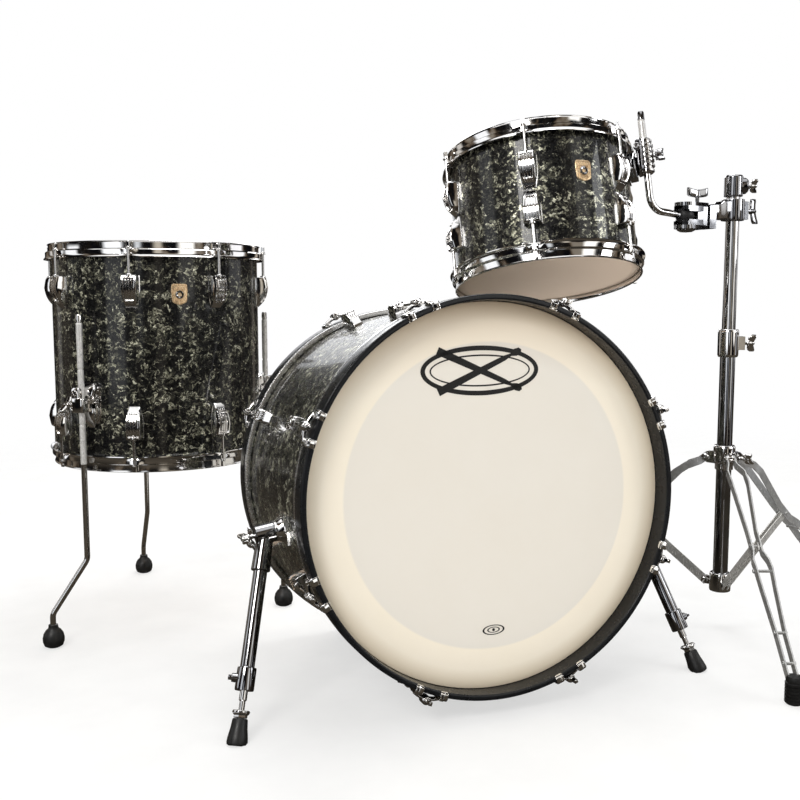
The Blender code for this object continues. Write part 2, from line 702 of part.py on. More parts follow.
def add_strap(shape, way, length, low_side, high_side):
    """A flat strap with square ends, from just behind the origin along a direction in the XZ plane."""
    tilt = Matrix.Rotation(math.atan2(way.x, way.z), 4, "Y")
    add_box(shape, (-STRAP_WIDTH / 2, low_side, -STRAP_TAIL), (STRAP_WIDTH / 2, high_side, length), tilt)


def tripod_leg(number, hub, heading):
    """Two flat straps from the hub to a rubber foot, in a frame on the hub's pivot."""
    frame = empty(f"stand_leg_frame_{number}", hub, turned(heading) @ shifted(HUB_PIVOT.x, 0, 0))
    reach = TRIPOD_FOOT - HUB_PIVOT
    way = reach.normalized()
    straps = bmesh.new()
    for low, high in ((-STRAP_OUTER, -STRAP_INNER), (STRAP_INNER, STRAP_OUTER)):
        add_strap(straps, way, reach.length, low, high)
    tool = bmesh.new()
    for share in (0.54, 0.78):
        middle = reach * share
        side = Vector((0, STRAP_OUTER - 0.001, 0))
        add_rod(tool, middle - side, middle + side, 0.0035, 8)
    foot = reach + Vector((0, 0, -TRIPOD_FOOT.z))
    profile = [(0, 0), (0.013, 0), (0.015, 0.004), (0.015, 0.030), (0.012, 0.046), (0, 0.046)]
    add_lathe(tool, profile, 14, Matrix.Translation(foot), closed=False)
    piece(f"stand_leg_{number}", joined(straps, tool), CHROME, frame)


def tripod_brace(number, base, heading):
    """A pair of thin straps from the lower hub up between the leg's straps, in a frame on its lower pivot."""
    frame = empty(f"stand_brace_frame_{number}", base, turned(heading) @ Matrix.Translation(BRACE_PIVOT))
    leg_way = (TRIPOD_FOOT - HUB_PIVOT).normalized()
    reach = HUB_PIVOT + leg_way * BRACE_POINT - BRACE_PIVOT
    straps = bmesh.new()
    inner, outer = BRACE_STRAP
    for low, high in ((-outer, -inner), (inner, outer)):
        add_strap(straps, reach.normalized(), reach.length + STRAP_TAIL, low, high)
    rivet = bmesh.new()
    side = Vector((0, 0.0050, 0))
    add_rod(rivet, reach - side, reach + side, 0.0040, 8)
    piece(f"stand_brace_{number}", joined(straps, rivet), CHROME, frame)


def upper_tube(frame):
    """The height tube in a frame on the stand's axis at the floor, with its cap and the cap's thumb screw."""
    wall = 0.0015
    shape = bmesh.new()
    profile = [
        (UPPER_TUBE_RADIUS, UPPER_TUBE_BOTTOM),
        (UPPER_TUBE_RADIUS, CAP_BOTTOM),
        (0.0175, CAP_BOTTOM),
        (0.0175, CAP_TOP - 0.003),
        (0.0145, CAP_TOP),
        (0, CAP_TOP),
        (0, CAP_BOTTOM),
        (UPPER_TUBE_RADIUS - wall, CAP_BOTTOM),
        (UPPER_TUBE_RADIUS - wall, UPPER_TUBE_BOTTOM),
    ]
    outside = profile[:6]
    inside = profile[6:]
    add_lathe(shape, list(reversed(outside)) + list(reversed(inside)), 20, closed=False)
    piece("stand_upper_tube", shape, CHROME, frame)
    out = polar(1, WING_HEADING)
    screw = Matrix.Translation(out * (0.0175 + GAP) + Vector((0, 0, (CAP_BOTTOM + CAP_TOP) / 2)))
    wing_screw("cap_wing", frame, screw @ aimed(out), 0.013, 0.012)


def tom_clamp(frame, ball):
    """The clamp in a frame on the tube's axis, +X towards the ball; ball is its centre there."""
    shape = bmesh.new()
    add_lathe(shape, ring_profile(UPPER_TUBE_RADIUS + GAP, 0.0215, -CLAMP_HALF, CLAMP_HALF), 20)
    tool = bmesh.new()
    top = ball.z + BALL_RADIUS + GAP
    bottom = ball.z - BALL_RADIUS - GAP
    web = ball.x - BALL_RADIUS - 0.0055
    add_box(tool, (0.018, -0.010, -0.017), (web - 0.004, 0.010, 0.006))
    add_box(tool, (web - 0.009, -0.014, bottom - 0.004), (web, 0.014, top + 0.004))
    for low, high in ((top, top + 0.007), (bottom - 0.007, bottom)):
        add_box(tool, (ball.x - CLAMP_WING_SETBACK - 0.010, -0.017, low), (ball.x + 0.014, 0.017, high))
    add_box(tool, (-0.030, -0.012, -0.016), (-0.018, 0.012, 0.016))
    piece("tom_clamp", joined(shape, tool), CHROME, frame)
    above = shifted(ball.x - CLAMP_WING_SETBACK, 0, top + 0.007 + GAP)
    wing_screw("clamp_top_wing", frame, above, 0.022, 0.010)
    behind = Vector((-1, 0, 0))
    screw = Matrix.Translation(behind * (0.030 + GAP))
    wing_screw("clamp_side_wing", frame, screw @ aimed(behind), 0.024, 0.016)


def arm_and_ball(ball_frame, rack_matrix):
    """The nylon ball with its bore, and the bent arm through it, both round the ball's centre."""
    to_local = Matrix.Translation(-BALL_CENTRE)
    ends = [polar(STEM_RADIUS, STEM_ANGLE, height) for height in (STEM_TOP, STEM_BOTTOM)]
    stem = [to_local @ (rack_matrix @ end) for end in ends]
    way = -stem[1].normalized()
    shape = bmesh.new()
    bmesh.ops.create_uvsphere(shape, u_segments=12, v_segments=8, radius=BALL_RADIUS)
    bore = bmesh.new()
    add_rod(bore, way * -0.03, way * 0.03, ARM_RADIUS + 0.0005, 12)
    piece("clamp_ball", cut(shape, bore), NYLON, ball_frame)
    arm = empty("arm_frame", ball_frame)
    shape = bmesh.new()
    add_sweep(shape, rounded([stem[0], stem[1], way * 0.019], ARM_BEND), ARM_RADIUS, 12)
    piece("tom_arm", shape, CHROME, arm)
    swivel_place = Matrix.Translation(stem[1]) @ aimed(RACK_UP)
    swivel = empty("tom_swivel", arm, swivel_place)
    swivel_world = Matrix.Translation(BALL_CENTRE) @ swivel_place
    rack_tom(empty("rack_frame", swivel, swivel_world.inverted() @ rack_matrix))


def build():
    clear_scene()
    root = empty("kit", None, shifted(*ROOT))
    front_height = BASS_HOOP_OUTER * math.cos(BASS_TILT) + BASS_LENGTH * math.sin(BASS_TILT)
    lean = Matrix.Rotation(math.pi / 2 - BASS_TILT, 4, "X")
    rear_centre = (0, BASS_LENGTH * math.cos(BASS_TILT), front_height - BASS_LENGTH * math.sin(BASS_TILT))
    bass = empty("bass_frame", root, shifted(*rear_centre) @ lean)
    spurs = {}
    for side in (-1, 1):
        pivot = (side * SPUR_PIVOT.x, SPUR_PIVOT.y, SPUR_PIVOT.z)
        spurs[side] = empty(f"spur_frame_{side}", root, shifted(*pivot))
    bpy.context.view_layer.update()
    bass_shell(bass, spurs.values())
    bass_hoops(bass)
    bass_heads(bass)
    for side, frame in spurs.items():
        spur(side, frame, bass)

    floor_tom(empty("floor_frame", root, Matrix.Translation(FLOOR_AXIS)))

    stand = empty("stand_frame", root, Matrix.Translation(STAND_AXIS))
    stand_base(stand)
    stand_hub(stand)
    height_frame = empty("height_frame", stand)
    upper_tube(height_frame)
    reach = BALL_CENTRE - STAND_AXIS
    clamp_turn = shifted(0, 0, CLAMP_HEIGHT) @ turned(math.atan2(reach.y, reach.x))
    clamp = empty("clamp_frame", height_frame, clamp_turn)
    ball = Vector((math.hypot(reach.x, reach.y), 0, BALL_CENTRE.z - CLAMP_HEIGHT))
    tom_clamp(clamp, ball)
    clamp_world = Matrix.Translation(STAND_AXIS) @ clamp_turn
    ball_frame = empty("ball_frame", clamp, clamp_world.inverted() @ Matrix.Translation(BALL_CENTRE))
    rack_matrix = Matrix.Translation(RACK_BASE) @ aimed(RACK_UP)
    arm_and_ball(ball_frame, rack_matrix)


build()
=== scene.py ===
import math

import bmesh
import bpy
from mathutils import Matrix, Vector


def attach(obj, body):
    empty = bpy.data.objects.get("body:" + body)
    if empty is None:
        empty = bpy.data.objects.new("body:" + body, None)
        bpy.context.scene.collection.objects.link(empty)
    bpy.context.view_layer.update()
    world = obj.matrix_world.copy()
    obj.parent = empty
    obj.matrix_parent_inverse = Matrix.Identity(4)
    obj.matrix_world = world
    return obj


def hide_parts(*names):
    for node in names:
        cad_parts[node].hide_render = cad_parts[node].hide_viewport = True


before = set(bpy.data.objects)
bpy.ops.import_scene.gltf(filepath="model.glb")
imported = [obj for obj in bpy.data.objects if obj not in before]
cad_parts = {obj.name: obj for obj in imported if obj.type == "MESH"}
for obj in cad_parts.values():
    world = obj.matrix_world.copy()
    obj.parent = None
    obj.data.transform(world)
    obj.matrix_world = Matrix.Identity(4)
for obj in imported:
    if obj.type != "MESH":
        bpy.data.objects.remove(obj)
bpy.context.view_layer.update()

IDENTITY = Matrix.Identity(4)
FACING_X = Matrix.Rotation(math.pi / 2, 4, "Y")         # takes +Z to +X
FACING_FRONT = Matrix.Rotation(math.pi / 2, 4, "X")     # takes +Z to -Y


def shifted(*offset):
    return Matrix.Translation(Vector(offset))


def turned(angle):
    return Matrix.Rotation(angle, 4, "Z")


def aimed(direction):
    """The rotation that takes +Z to a direction."""
    return Vector((0, 0, 1)).rotation_difference(Vector(direction)).to_matrix().to_4x4()


def polar(radius, angle, height=0.0):
    return Vector((radius * math.cos(angle), radius * math.sin(angle), height))


BASS_TILT = math.radians(3.6)
BASS_RADIUS, BASS_DEPTH, BASS_REACH, BASS_LENGTH = 0.3048, 0.4064, 0.033, 0.4724
BASS_HOOP_INNER, BASS_HOOP_OUTER, BASS_HOOP_WIDTH = 0.3066, 0.3160, 0.038
BASS_ROD_CIRCLE = 0.3275
BASS_LUG_INSET = 0.056
BASS = shifted(-0.1455, 0.03297, 0.31538) @ Matrix.Rotation(math.pi / 2 - BASS_TILT, 4, "X")
BASS_FRONT = BASS @ shifted(0, 0, BASS_LENGTH)
BASS_REAR = BASS @ Matrix.Rotation(math.pi, 4, "Y")
BASS_RODS = [math.radians(22.5 + 45 * step) for step in range(8)]
CLAW_SPREAD = math.radians(3.9)

FLOOR_RADIUS, FLOOR_DEPTH, FLOOR_BASE = 0.2032, 0.4064, 0.3416
FLOOR = shifted(-0.5815, 0.2679, FLOOR_BASE)
FLOOR_RODS = [math.radians(-109 + 45 * step) for step in range(8)]
LEG_CIRCLE, LEG_TOP, LEG_BEND, LEG_BRACKET = 0.2240, 0.625, 0.163, 0.456
LEG_PLACES = ((-135.0, 175.6, 0.0655), (3.3, -77.2, 0.0760), (93.3, 93.8, 0.0760))

RACK_RADIUS, RACK_DEPTH = 0.1651, 0.2286
RACK_UP = Vector((0.0186, 0.2554, 0.9667)).normalized()
RACK_FRAME = shifted(0.076, -0.1774, 0.678) @ aimed(RACK_UP)
RACK = RACK_FRAME @ shifted(0, 0, 0.012)
RACK_RODS = [math.radians(-4.6 + 60 * step) for step in range(6)]
STEM_RADIUS, STEM_ANGLE = 0.197, math.radians(-34.6)
STEM_TOP, STEM_BOTTOM, MOUNT_HEIGHT = 0.300, 0.112, 0.213
TOM_ROD_OFFSET, TOM_LUG_INSET, TOM_LUG_LENGTH = 0.0135, 0.052, 0.056

STAND_X, STAND_Y = 0.4461, -0.2247
STAND = shifted(STAND_X, STAND_Y, 0)
CLAMP_HEIGHT = 0.82
COLLAR_SCREW_HEIGHT = 0.566
CAP_SCREW_HEIGHT = 0.8655
LEG_HEADINGS = (-110.0, 10.0, 130.0)
HUB_PIVOT = Vector((0.035, 0, 0.341))
BRACE_PIVOT = Vector((0.030, 0, 0.092))
TRIPOD_FOOT = Vector((0.370, 0, 0.030))
BRACE_POINT = 0.196
CLAMP = shifted(STAND_X, STAND_Y, CLAMP_HEIGHT) @ turned(math.atan2(-0.0173, -0.1216))
BALL = Vector((0.3245, -0.242, 0.805))
BALL_OFFSET = math.hypot(0.1216, 0.0173)
ARM_RADIUS = 0.00635
WING_HEADING = math.radians(-20)

SPURS = {
    "left": (
        Vector((-0.4785, -0.2735, 0.28)), Vector((-0.5535, -0.4035, 0)),
        Vector((-0.98685, -0.01015, -0.16134)),
    ),
    "right": (
        Vector((0.1875, -0.2735, 0.28)), Vector((0.2625, -0.4035, 0)),
        Vector((0.98685, -0.01015, -0.16134)),
    ),
}

# ---------------------------------------------------------------- camera, light and floor

camera = bpy.data.objects.new("camera", bpy.data.cameras.new("camera"))
bpy.context.scene.collection.objects.link(camera)
camera.location = (-0.78819, -1.75624, 0.652)
camera.rotation_euler = (math.radians(83.98), math.radians(0.07), math.radians(-19.97))
camera.data.lens = 43.10
camera.data.sensor_width = 36
camera.data.clip_start = 0.05
bpy.context.scene.camera = camera
bpy.context.scene.view_settings.view_transform = "Standard"


class Graph:
    """A small helper round one node tree."""

    def __init__(self, tree):
        self.tree = tree

    def node(self, kind, inputs=None, **settings):
        made = self.tree.nodes.new(kind)
        for key, value in settings.items():
            setattr(made, key, value)
        for key, value in (inputs or {}).items():
            if isinstance(value, bpy.types.NodeSocket):
                self.tree.links.new(value, made.inputs[key])
            else:
                made.inputs[key].default_value = value
        return made

    def math(self, operation, one, two=0.0, three=0.0, clamp=False):
        made = self.node("ShaderNodeMath", {0: one, 1: two, 2: three}, operation=operation, use_clamp=clamp)
        return made.outputs[0]

    def vector(self, operation, one, two=(0, 0, 0)):
        made = self.node("ShaderNodeVectorMath", {0: one, 1: two}, operation=operation)
        return made.outputs[0]

    def scaled(self, vector, factor):
        made = self.node("ShaderNodeVectorMath", {0: vector, "Scale": factor}, operation="SCALE")
        return made.outputs[0]

    def ramp(self, factor, stops, interpolation="LINEAR"):
        """Stops are (position, colour) pairs; a colour is a number or three numbers."""
        made = self.node("ShaderNodeValToRGB", {0: factor})
        made.color_ramp.interpolation = interpolation
        elements = made.color_ramp.elements
        while len(elements) < len(stops):
            elements.new(0.5)
        for element, (position, colour) in zip(elements, stops):
            element.position = position
            rgb = (colour,) * 3 if isinstance(colour, (int, float)) else colour
            element.color = (*rgb, 1.0)
        return made.outputs[0]

    def noise(self, vector, scale, detail=2.0, roughness=0.5, distortion=0.0):
        return self.node(
            "ShaderNodeTexNoise",
            {
                "Vector": vector, "Scale": scale, "Detail": detail, "Roughness": roughness,
                "Distortion": distortion,
            },
        )

    def mix(self, factor, one, two, blend="MIX"):
        made = self.node("ShaderNodeMix", data_type="RGBA", blend_type=blend)
        for socket, value in ((0, factor), (6, one), (7, two)):
            if isinstance(value, bpy.types.NodeSocket):
                self.tree.links.new(value, made.inputs[socket])
            elif socket:
                made.inputs[socket].default_value = (*value, 1.0)
            else:
                made.inputs[socket].default_value = value
        return made.outputs[2]


# Each window: azimuth from and to in degrees, height of the ray from and to, and the light's colour.
WINDOWS = (
    (-152, -132, -0.10, 0.55, (1.25, 1.28, 1.32)),
    (-118, -112, -0.05, 0.45, (0.75, 0.78, 0.82)),
    (-98, -90, -0.30, 0.30, (0.55, 0.50, 0.42)),
    (-72, -55, -0.05, 0.60, (1.35, 1.33, 1.28)),
    (-38, -30, -0.20, 0.40, (0.60, 0.62, 0.66)),
    (-8, 12, 0.00, 0.50, (1.15, 1.15, 1.18)),
    (38, 46, -0.20, 0.35, (0.45, 0.40, 0.34)),
    (70, 92, 0.00, 0.55, (1.20, 1.22, 1.26)),
    (124, 134, -0.10, 0.40, (0.65, 0.62, 0.58)),
    (158, 176, 0.05, 0.55, (1.10, 1.12, 1.15)),
    (-180, 180, 0.80, 1.10, (1.20, 1.20, 1.20)),
)


def soft_band(g, value, low, high, edge):
    """1 where the value lies between low and high, with soft edges."""
    rise = g.node("ShaderNodeMapRange", {0: value, 1: low - edge, 2: low + edge}).outputs[0]
    fall = g.node("ShaderNodeMapRange", {0: value, 1: high - edge, 2: high + edge, 3: 1.0, 4: 0.0}).outputs[0]
    return g.math("MULTIPLY", rise, fall)


def studio_world():
    """White to the camera, soft white for diffuse light, and a contrasty room for reflections."""
    world = bpy.data.worlds.new("studio")
    bpy.context.scene.world = world
    world.use_nodes = True
    world.node_tree.nodes.clear()
    g = Graph(world.node_tree)
    way = g.node("ShaderNodeTexCoord").outputs["Generated"]
    x, y, z = g.node("ShaderNodeSeparateXYZ", {0: way}).outputs
    azimuth = g.math("DIVIDE", g.math("ARCTAN2", y, x), math.radians(1))
    rooms = g.noise(g.vector("MULTIPLY", way, (1.0, 1.0, 0.5)), 3.2, 2.0, 0.5).outputs["Fac"]
    light = g.ramp(
        rooms,
        [
            (0.46, (0.003, 0.003, 0.004)), (0.55, (0.010, 0.008, 0.006)), (0.59, (0.110, 0.080, 0.055)),
            (0.68, (0.240, 0.210, 0.170)),
        ],
    )
    for start, end, low, high, glow in WINDOWS:
        inside = g.math("MULTIPLY", soft_band(g, azimuth, start, end, 2.0), soft_band(g, z, low, high, 0.02))
        light = g.mix(inside, light, glow)
    path = g.node("ShaderNodeLightPath")
    soft = g.node("ShaderNodeBackground", {"Color": (1.0, 0.985, 0.96, 1.0), "Strength": 0.55})
    shiny = g.node("ShaderNodeBackground", {"Color": light, "Strength": 1.0})
    plain = g.node("ShaderNodeBackground", {"Color": (1.0, 1.0, 1.0, 1.0), "Strength": 1.0})
    inner = g.node(
        "ShaderNodeMixShader", {0: path.outputs["Is Glossy Ray"], 1: soft.outputs[0], 2: shiny.outputs[0]},
    )
    outer = g.node(
        "ShaderNodeMixShader", {0: path.outputs["Is Camera Ray"], 1: inner.outputs[0], 2: plain.outputs[0]},
    )
    g.node("ShaderNodeOutputWorld", {0: outer.outputs[0]})


def area_light(name, place, target, size, power, colour=(1, 1, 1)):
    data = bpy.data.lights.new(name, "AREA")
    data.shape = "RECTANGLE"
    data.size, data.size_y = size
    data.energy = power
    data.color = colour
    item = bpy.data.objects.new(name, data)
    bpy.context.scene.collection.objects.link(item)
    item.location = place
    item.rotation_euler = (Vector(target) - Vector(place)).to_track_quat("-Z", "Y").to_euler()


def pale_floor():
    """A white disc that fades out before its edge, so no horizon shows."""
    mesh = bpy.data.meshes.new("floor")
    ring = [polar(6.0, 2 * math.pi * step / 96) for step in range(96)]
    mesh.from_pydata([(v.x, v.y, 0.0) for v in ring], [], [tuple(range(96))])
    item = bpy.data.objects.new("floor", mesh)
    bpy.context.scene.collection.objects.link(item)
    material = bpy.data.materials.new("floor")
    material.use_nodes = True
    material.node_tree.nodes.clear()
    g = Graph(material.node_tree)
    where = g.node("ShaderNodeTexCoord").outputs["Object"]
    reach = g.node("ShaderNodeVectorMath", {0: where}, operation="LENGTH").outputs["Value"]
    grain = g.noise(where, 9.0, 4.0, 0.55).outputs["Fac"]
    tint = g.ramp(grain, [(0.35, (0.93, 0.93, 0.925)), (0.65, (0.96, 0.96, 0.955))])
    rays = g.node("ShaderNodeLightPath")
    glossy = rays.outputs["Is Glossy Ray"]
    matt = g.node("ShaderNodeBsdfDiffuse", {"Color": g.mix(glossy, tint, (0.055, 0.047, 0.037))})
    glow = g.node("ShaderNodeEmission", {"Color": tint, "Strength": 1.05})
    lifted = g.math("MULTIPLY", rays.outputs["Is Camera Ray"], 0.62)
    matt = g.node("ShaderNodeMixShader", {0: lifted, 1: matt.outputs[0], 2: glow.outputs[0]})
    clear = g.node("ShaderNodeBsdfTransparent")
    fade = g.ramp(g.math("DIVIDE", reach, 6.0), [(0.22, 0.0), (0.55, 1.0)], "EASE")
    mixed = g.node("ShaderNodeMixShader", {0: fade, 1: matt.outputs[0], 2: clear.outputs[0]})
    g.node("ShaderNodeOutputMaterial", {0: mixed.outputs[0]})
    mesh.materials.append(material)


studio_world()
area_light("key", (-2.6, -2.4, 2.9), (-0.1, 0, 0.4), (1.3, 1.3), 60, (1.0, 0.98, 0.95))
area_light("fill", (2.6, -2.2, 1.8), (0.1, 0, 0.5), (0.8, 1.6), 20, (0.96, 0.98, 1.0))
area_light("top", (0.2, 0.4, 3.4), (0, 0, 0.3), (1.6, 1.6), 50)
area_light("back", (0.6, 2.8, 2.0), (0, 0, 0.4), (2.0, 1.0), 24)
pale_floor()

# ---------------------------------------------------------------- materials


def shaded(name, metallic=0.0, roughness=0.5, **inputs):
    """A new Principled material: its graph, its shader and the material."""
    material = bpy.data.materials.new(name)
    material.use_nodes = True
    g = Graph(material.node_tree)
    shader = material.node_tree.nodes["Principled BSDF"]
    shader.inputs["Metallic"].default_value = metallic
    shader.inputs["Roughness"].default_value = roughness
    for key, value in inputs.items():
        shader.inputs[key.replace("_", " ")].default_value = value
    return g, shader, material


def bump(g, shader, height, strength, distance=0.001, after=None):
    inputs = {"Height": height, "Strength": strength, "Distance": distance}
    if after is not None:
        inputs["Normal"] = after
    made = g.node("ShaderNodeBump", inputs)
    g.tree.links.new(made.outputs[0], shader.inputs["Normal"])
    return made.outputs[0]


def metal_material(name, light, dark, rough_low, rough_high, wave=0.12, scale=1.0, metallic=1.0):
    """Plated metal with faint clouding, wiped smudges and a slight waviness."""
    g, shader, material = shaded(name, metallic, rough_low)
    where = g.node("ShaderNodeTexCoord").outputs["Object"]
    cloud = g.noise(where, 26.0 * scale, 4.0, 0.6).outputs["Fac"]
    g.tree.links.new(g.ramp(cloud, [(0.30, dark), (0.62, light)]), shader.inputs["Base Color"])
    smear = g.noise(
        g.vector("MULTIPLY", where, (1.0, 1.0, 0.25)), 90.0 * scale, 5.0, 0.65, 0.6,
    ).outputs["Fac"]
    g.tree.links.new(g.ramp(smear, [(0.38, rough_low), (0.70, rough_high)]), shader.inputs["Roughness"])
    bump(g, shader, g.noise(where, 34.0 * scale, 2.0).outputs["Fac"], wave, 0.0006)
    return material


def wrap_material():
    """Black and silver pearl film: crumpled bright flakes in dark gaps under a clear gloss."""
    g, shader, material = shaded(
        "pearl_wrap_finish", 0.55, 0.28, Coat_Weight=0.62, Coat_Roughness=0.05, Coat_IOR=1.45,
    )
    where = g.node("ShaderNodeTexCoord").outputs["Object"]
    big = g.noise(where, 38.0, 3.0, 0.55).outputs["Color"]
    small = g.noise(where, 150.0, 3.0, 0.6).outputs["Color"]
    pushed = g.vector("ADD", where, g.scaled(g.vector("SUBTRACT", big, (0.5, 0.5, 0.5)), 0.034))
    pushed = g.vector("ADD", pushed, g.scaled(g.vector("SUBTRACT", small, (0.5, 0.5, 0.5)), 0.012))
    flakes = g.node("ShaderNodeTexVoronoi", {"Vector": pushed, "Scale": 120.0, "Randomness": 1.0})
    tilt = g.node("ShaderNodeSeparateColor", {0: flakes.outputs["Color"]})
    splinters = g.node("ShaderNodeTexVoronoi", {"Vector": pushed, "Scale": 310.0, "Randomness": 1.0})
    chip = g.node("ShaderNodeSeparateColor", {0: splinters.outputs["Color"]})
    fold = g.noise(pushed, 210.0, 4.0, 0.60, 0.3).outputs["Fac"]
    crease = g.node(
        "ShaderNodeTexNoise", {"Vector": pushed, "Scale": 62.0, "Detail": 3.0, "Roughness": 0.6},
        noise_type="RIDGED_MULTIFRACTAL",
    ).outputs["Fac"]
    patch = g.noise(where, 15.0, 2.0, 0.5).outputs["Fac"]
    level = g.math("MULTIPLY", tilt.outputs[0], 0.34)
    level = g.math("MULTIPLY_ADD", chip.outputs[1], 0.30, level)
    level = g.math("MULTIPLY_ADD", fold, 0.46, level)
    level = g.math("MULTIPLY_ADD", crease, 0.10, level)
    level = g.math("MULTIPLY_ADD", patch, 0.30, level)
    pearl = g.ramp(
        level,
        [
            (0.58, (0.0020, 0.0020, 0.0024)),
            (0.72, (0.010, 0.010, 0.009)),
            (0.82, (0.060, 0.059, 0.046)),
            (0.91, (0.300, 0.295, 0.210)),
            (1.00, (0.950, 0.940, 0.740)),
        ],
    )
    cool = g.mix(g.ramp(tilt.outputs[2], [(0.60, 0.0), (0.95, 0.35)]), pearl, (0.20, 0.21, 0.25), "MULTIPLY")
    g.tree.links.new(cool, shader.inputs["Base Color"])
    first = g.node("ShaderNodeBump", {"Height": level, "Strength": 0.60, "Distance": 0.0020}).outputs[0]
    bump(g, shader, tilt.outputs[1], 0.40, 0.0015, first)
    g.tree.links.new(g.ramp(chip.outputs[0], [(0.0, 0.20), (1.0, 0.42)]), shader.inputs["Roughness"])
    smooth = g.node("ShaderNodeBump", {"Height": patch, "Strength": 0.03, "Distance": 0.002}).outputs[0]
    g.tree.links.new(smooth, shader.inputs["Coat Normal"])
    return material


def lacquer_material():
    g, shader, material = shaded(
        "black_lacquer_finish", 0.0, 0.40, Coat_Weight=0.25, Coat_Roughness=0.12, Specular_IOR_Level=0.22,
    )
    where = g.node("ShaderNodeTexCoord").outputs["Object"]
    grain = g.noise(g.vector("MULTIPLY", where, (1.0, 1.0, 5.0)), 22.0, 5.0, 0.6).outputs["Fac"]
    g.tree.links.new(
        g.ramp(grain, [(0.3, (0.004, 0.0045, 0.0055)), (0.7, (0.009, 0.010, 0.012))]),
        shader.inputs["Base Color"],
    )
    haze = g.noise(where, 60.0, 4.0, 0.6).outputs["Fac"]
    g.tree.links.new(g.ramp(haze, [(0.35, 0.24), (0.7, 0.38)]), shader.inputs["Roughness"])
    bump(g, shader, g.noise(where, 30.0, 2.0).outputs["Fac"], 0.03, 0.0004)
    return material


def head_material(name, centre, ring, rim, split, film_radius, top_hoop_shade=0.0):
    """Coated film with a fine grain; its tone changes from the middle to a ring, and painted shade from the
    hoop darkens the rim and the top.
    """
    g, shader, material = shaded(name, 0.0, 0.6, Specular_IOR_Level=0.35)
    where = g.node("ShaderNodeTexCoord").outputs["Object"]
    flat = g.vector("MULTIPLY", where, (1.0, 1.0, 0.0))
    reach = g.node("ShaderNodeVectorMath", {0: flat}, operation="LENGTH").outputs["Value"]
    cloud = g.noise(where, 7.0, 4.0, 0.6).outputs["Fac"]
    share = g.math("DIVIDE", reach, film_radius)
    # Painted shade: the rim colour darkens the film's outer edge, where the hoop shades it.
    tone = g.ramp(share, [(split - 0.004, centre), (split + 0.006, ring), (0.90, ring), (0.985, rim)])
    mottled_and_shaded = g.mix(g.ramp(cloud, [(0.35, 0.0), (0.70, 0.08)]), tone, (0.80, 0.74, 0.62), "MULTIPLY")
    # Painted shade: towards the top of the film the colour is multiplied down to a brown shadow tone, the
    # hoop's shadow; the last argument sets how deep it goes.
    rise = g.math("DIVIDE", g.node("ShaderNodeSeparateXYZ", {0: where}).outputs[1], film_radius)
    high = g.ramp(g.math("MULTIPLY", rise, share), [(0.45, 0.0), (0.95, top_hoop_shade)])
    mottled_and_shaded = g.mix(high, mottled_and_shaded, (0.56, 0.44, 0.34), "MULTIPLY")
    grain = g.noise(where, 1500.0, 2.0, 0.7).outputs["Fac"]
    speck = g.mix(g.ramp(grain, [(0.35, 0.05), (0.65, 0.0)]), mottled_and_shaded, (0.62, 0.60, 0.55))
    g.tree.links.new(speck, shader.inputs["Base Color"])
    g.tree.links.new(g.ramp(grain, [(0.3, 0.50), (0.7, 0.68)]), shader.inputs["Roughness"])
    bump(g, shader, grain, 0.10, 0.0003)
    return material


def plastic_material(name, low, high, rough_low, rough_high, pebble=900.0, strength=0.12):
    g, shader, material = shaded(name, 0.0, rough_low, Specular_IOR_Level=0.45)
    where = g.node("ShaderNodeTexCoord").outputs["Object"]
    cloud = g.noise(where, 45.0, 4.0, 0.6).outputs["Fac"]
    g.tree.links.new(g.ramp(cloud, [(0.3, low), (0.7, high)]), shader.inputs["Base Color"])
    g.tree.links.new(g.ramp(cloud, [(0.3, rough_low), (0.7, rough_high)]), shader.inputs["Roughness"])
    bump(g, shader, g.noise(where, pebble, 2.0).outputs["Fac"], strength, 0.0003)
    return material


def ink_material():
    g, shader, material = shaded("ink_finish", 0.0, 0.5)
    where = g.node("ShaderNodeTexCoord").outputs["Object"]
    cloud = g.noise(where, 300.0, 3.0, 0.6).outputs["Fac"]
    g.tree.links.new(
        g.ramp(cloud, [(0.3, (0.004, 0.004, 0.004)), (0.7, (0.014, 0.013, 0.012))]),
        shader.inputs["Base Color"],
    )
    return material


CHROME = metal_material("chrome_finish", (0.90, 0.89, 0.88), (0.80, 0.79, 0.78), 0.045, 0.12)
DARK_CHROME = metal_material("dark_chrome_finish", (0.42, 0.42, 0.43), (0.32, 0.32, 0.33), 0.06, 0.14)
STEEL = metal_material("plated_steel_finish", (0.78, 0.77, 0.75), (0.62, 0.61, 0.59), 0.12, 0.26)
ALUMINIUM = metal_material("aluminium_finish", (0.80, 0.80, 0.80), (0.68, 0.68, 0.68), 0.22, 0.36)
BRASS = metal_material("brass_finish", (0.92, 0.70, 0.44), (0.66, 0.44, 0.24), 0.20, 0.36, 0.2, 6.0, 0.70)
KNURL = metal_material(
    "knurled_steel_finish", (0.86, 0.85, 0.83), (0.72, 0.71, 0.69), 0.25, 0.40, 0.3, 3.0, 0.45,
)
STRAP = metal_material("leg_strap_finish", (0.56, 0.56, 0.55), (0.40, 0.40, 0.40), 0.16, 0.30, 0.2, 4.0, 0.60)
BRACE = metal_material("leg_brace_finish", (0.80, 0.79, 0.76), (0.62, 0.61, 0.59), 0.18, 0.32, 0.2, 4.0, 0.60)
# Chrome with its colour turned down for the upper stand tube: painted shade standing in for the dark
# surroundings the tube reflects.
DIMMED_TUBE_CHROME = metal_material("stand_tube_chrome_painted_dark", (0.66, 0.65, 0.64), (0.54, 0.53, 0.52), 0.045, 0.12)
WRAP = wrap_material()
LACQUER = lacquer_material()
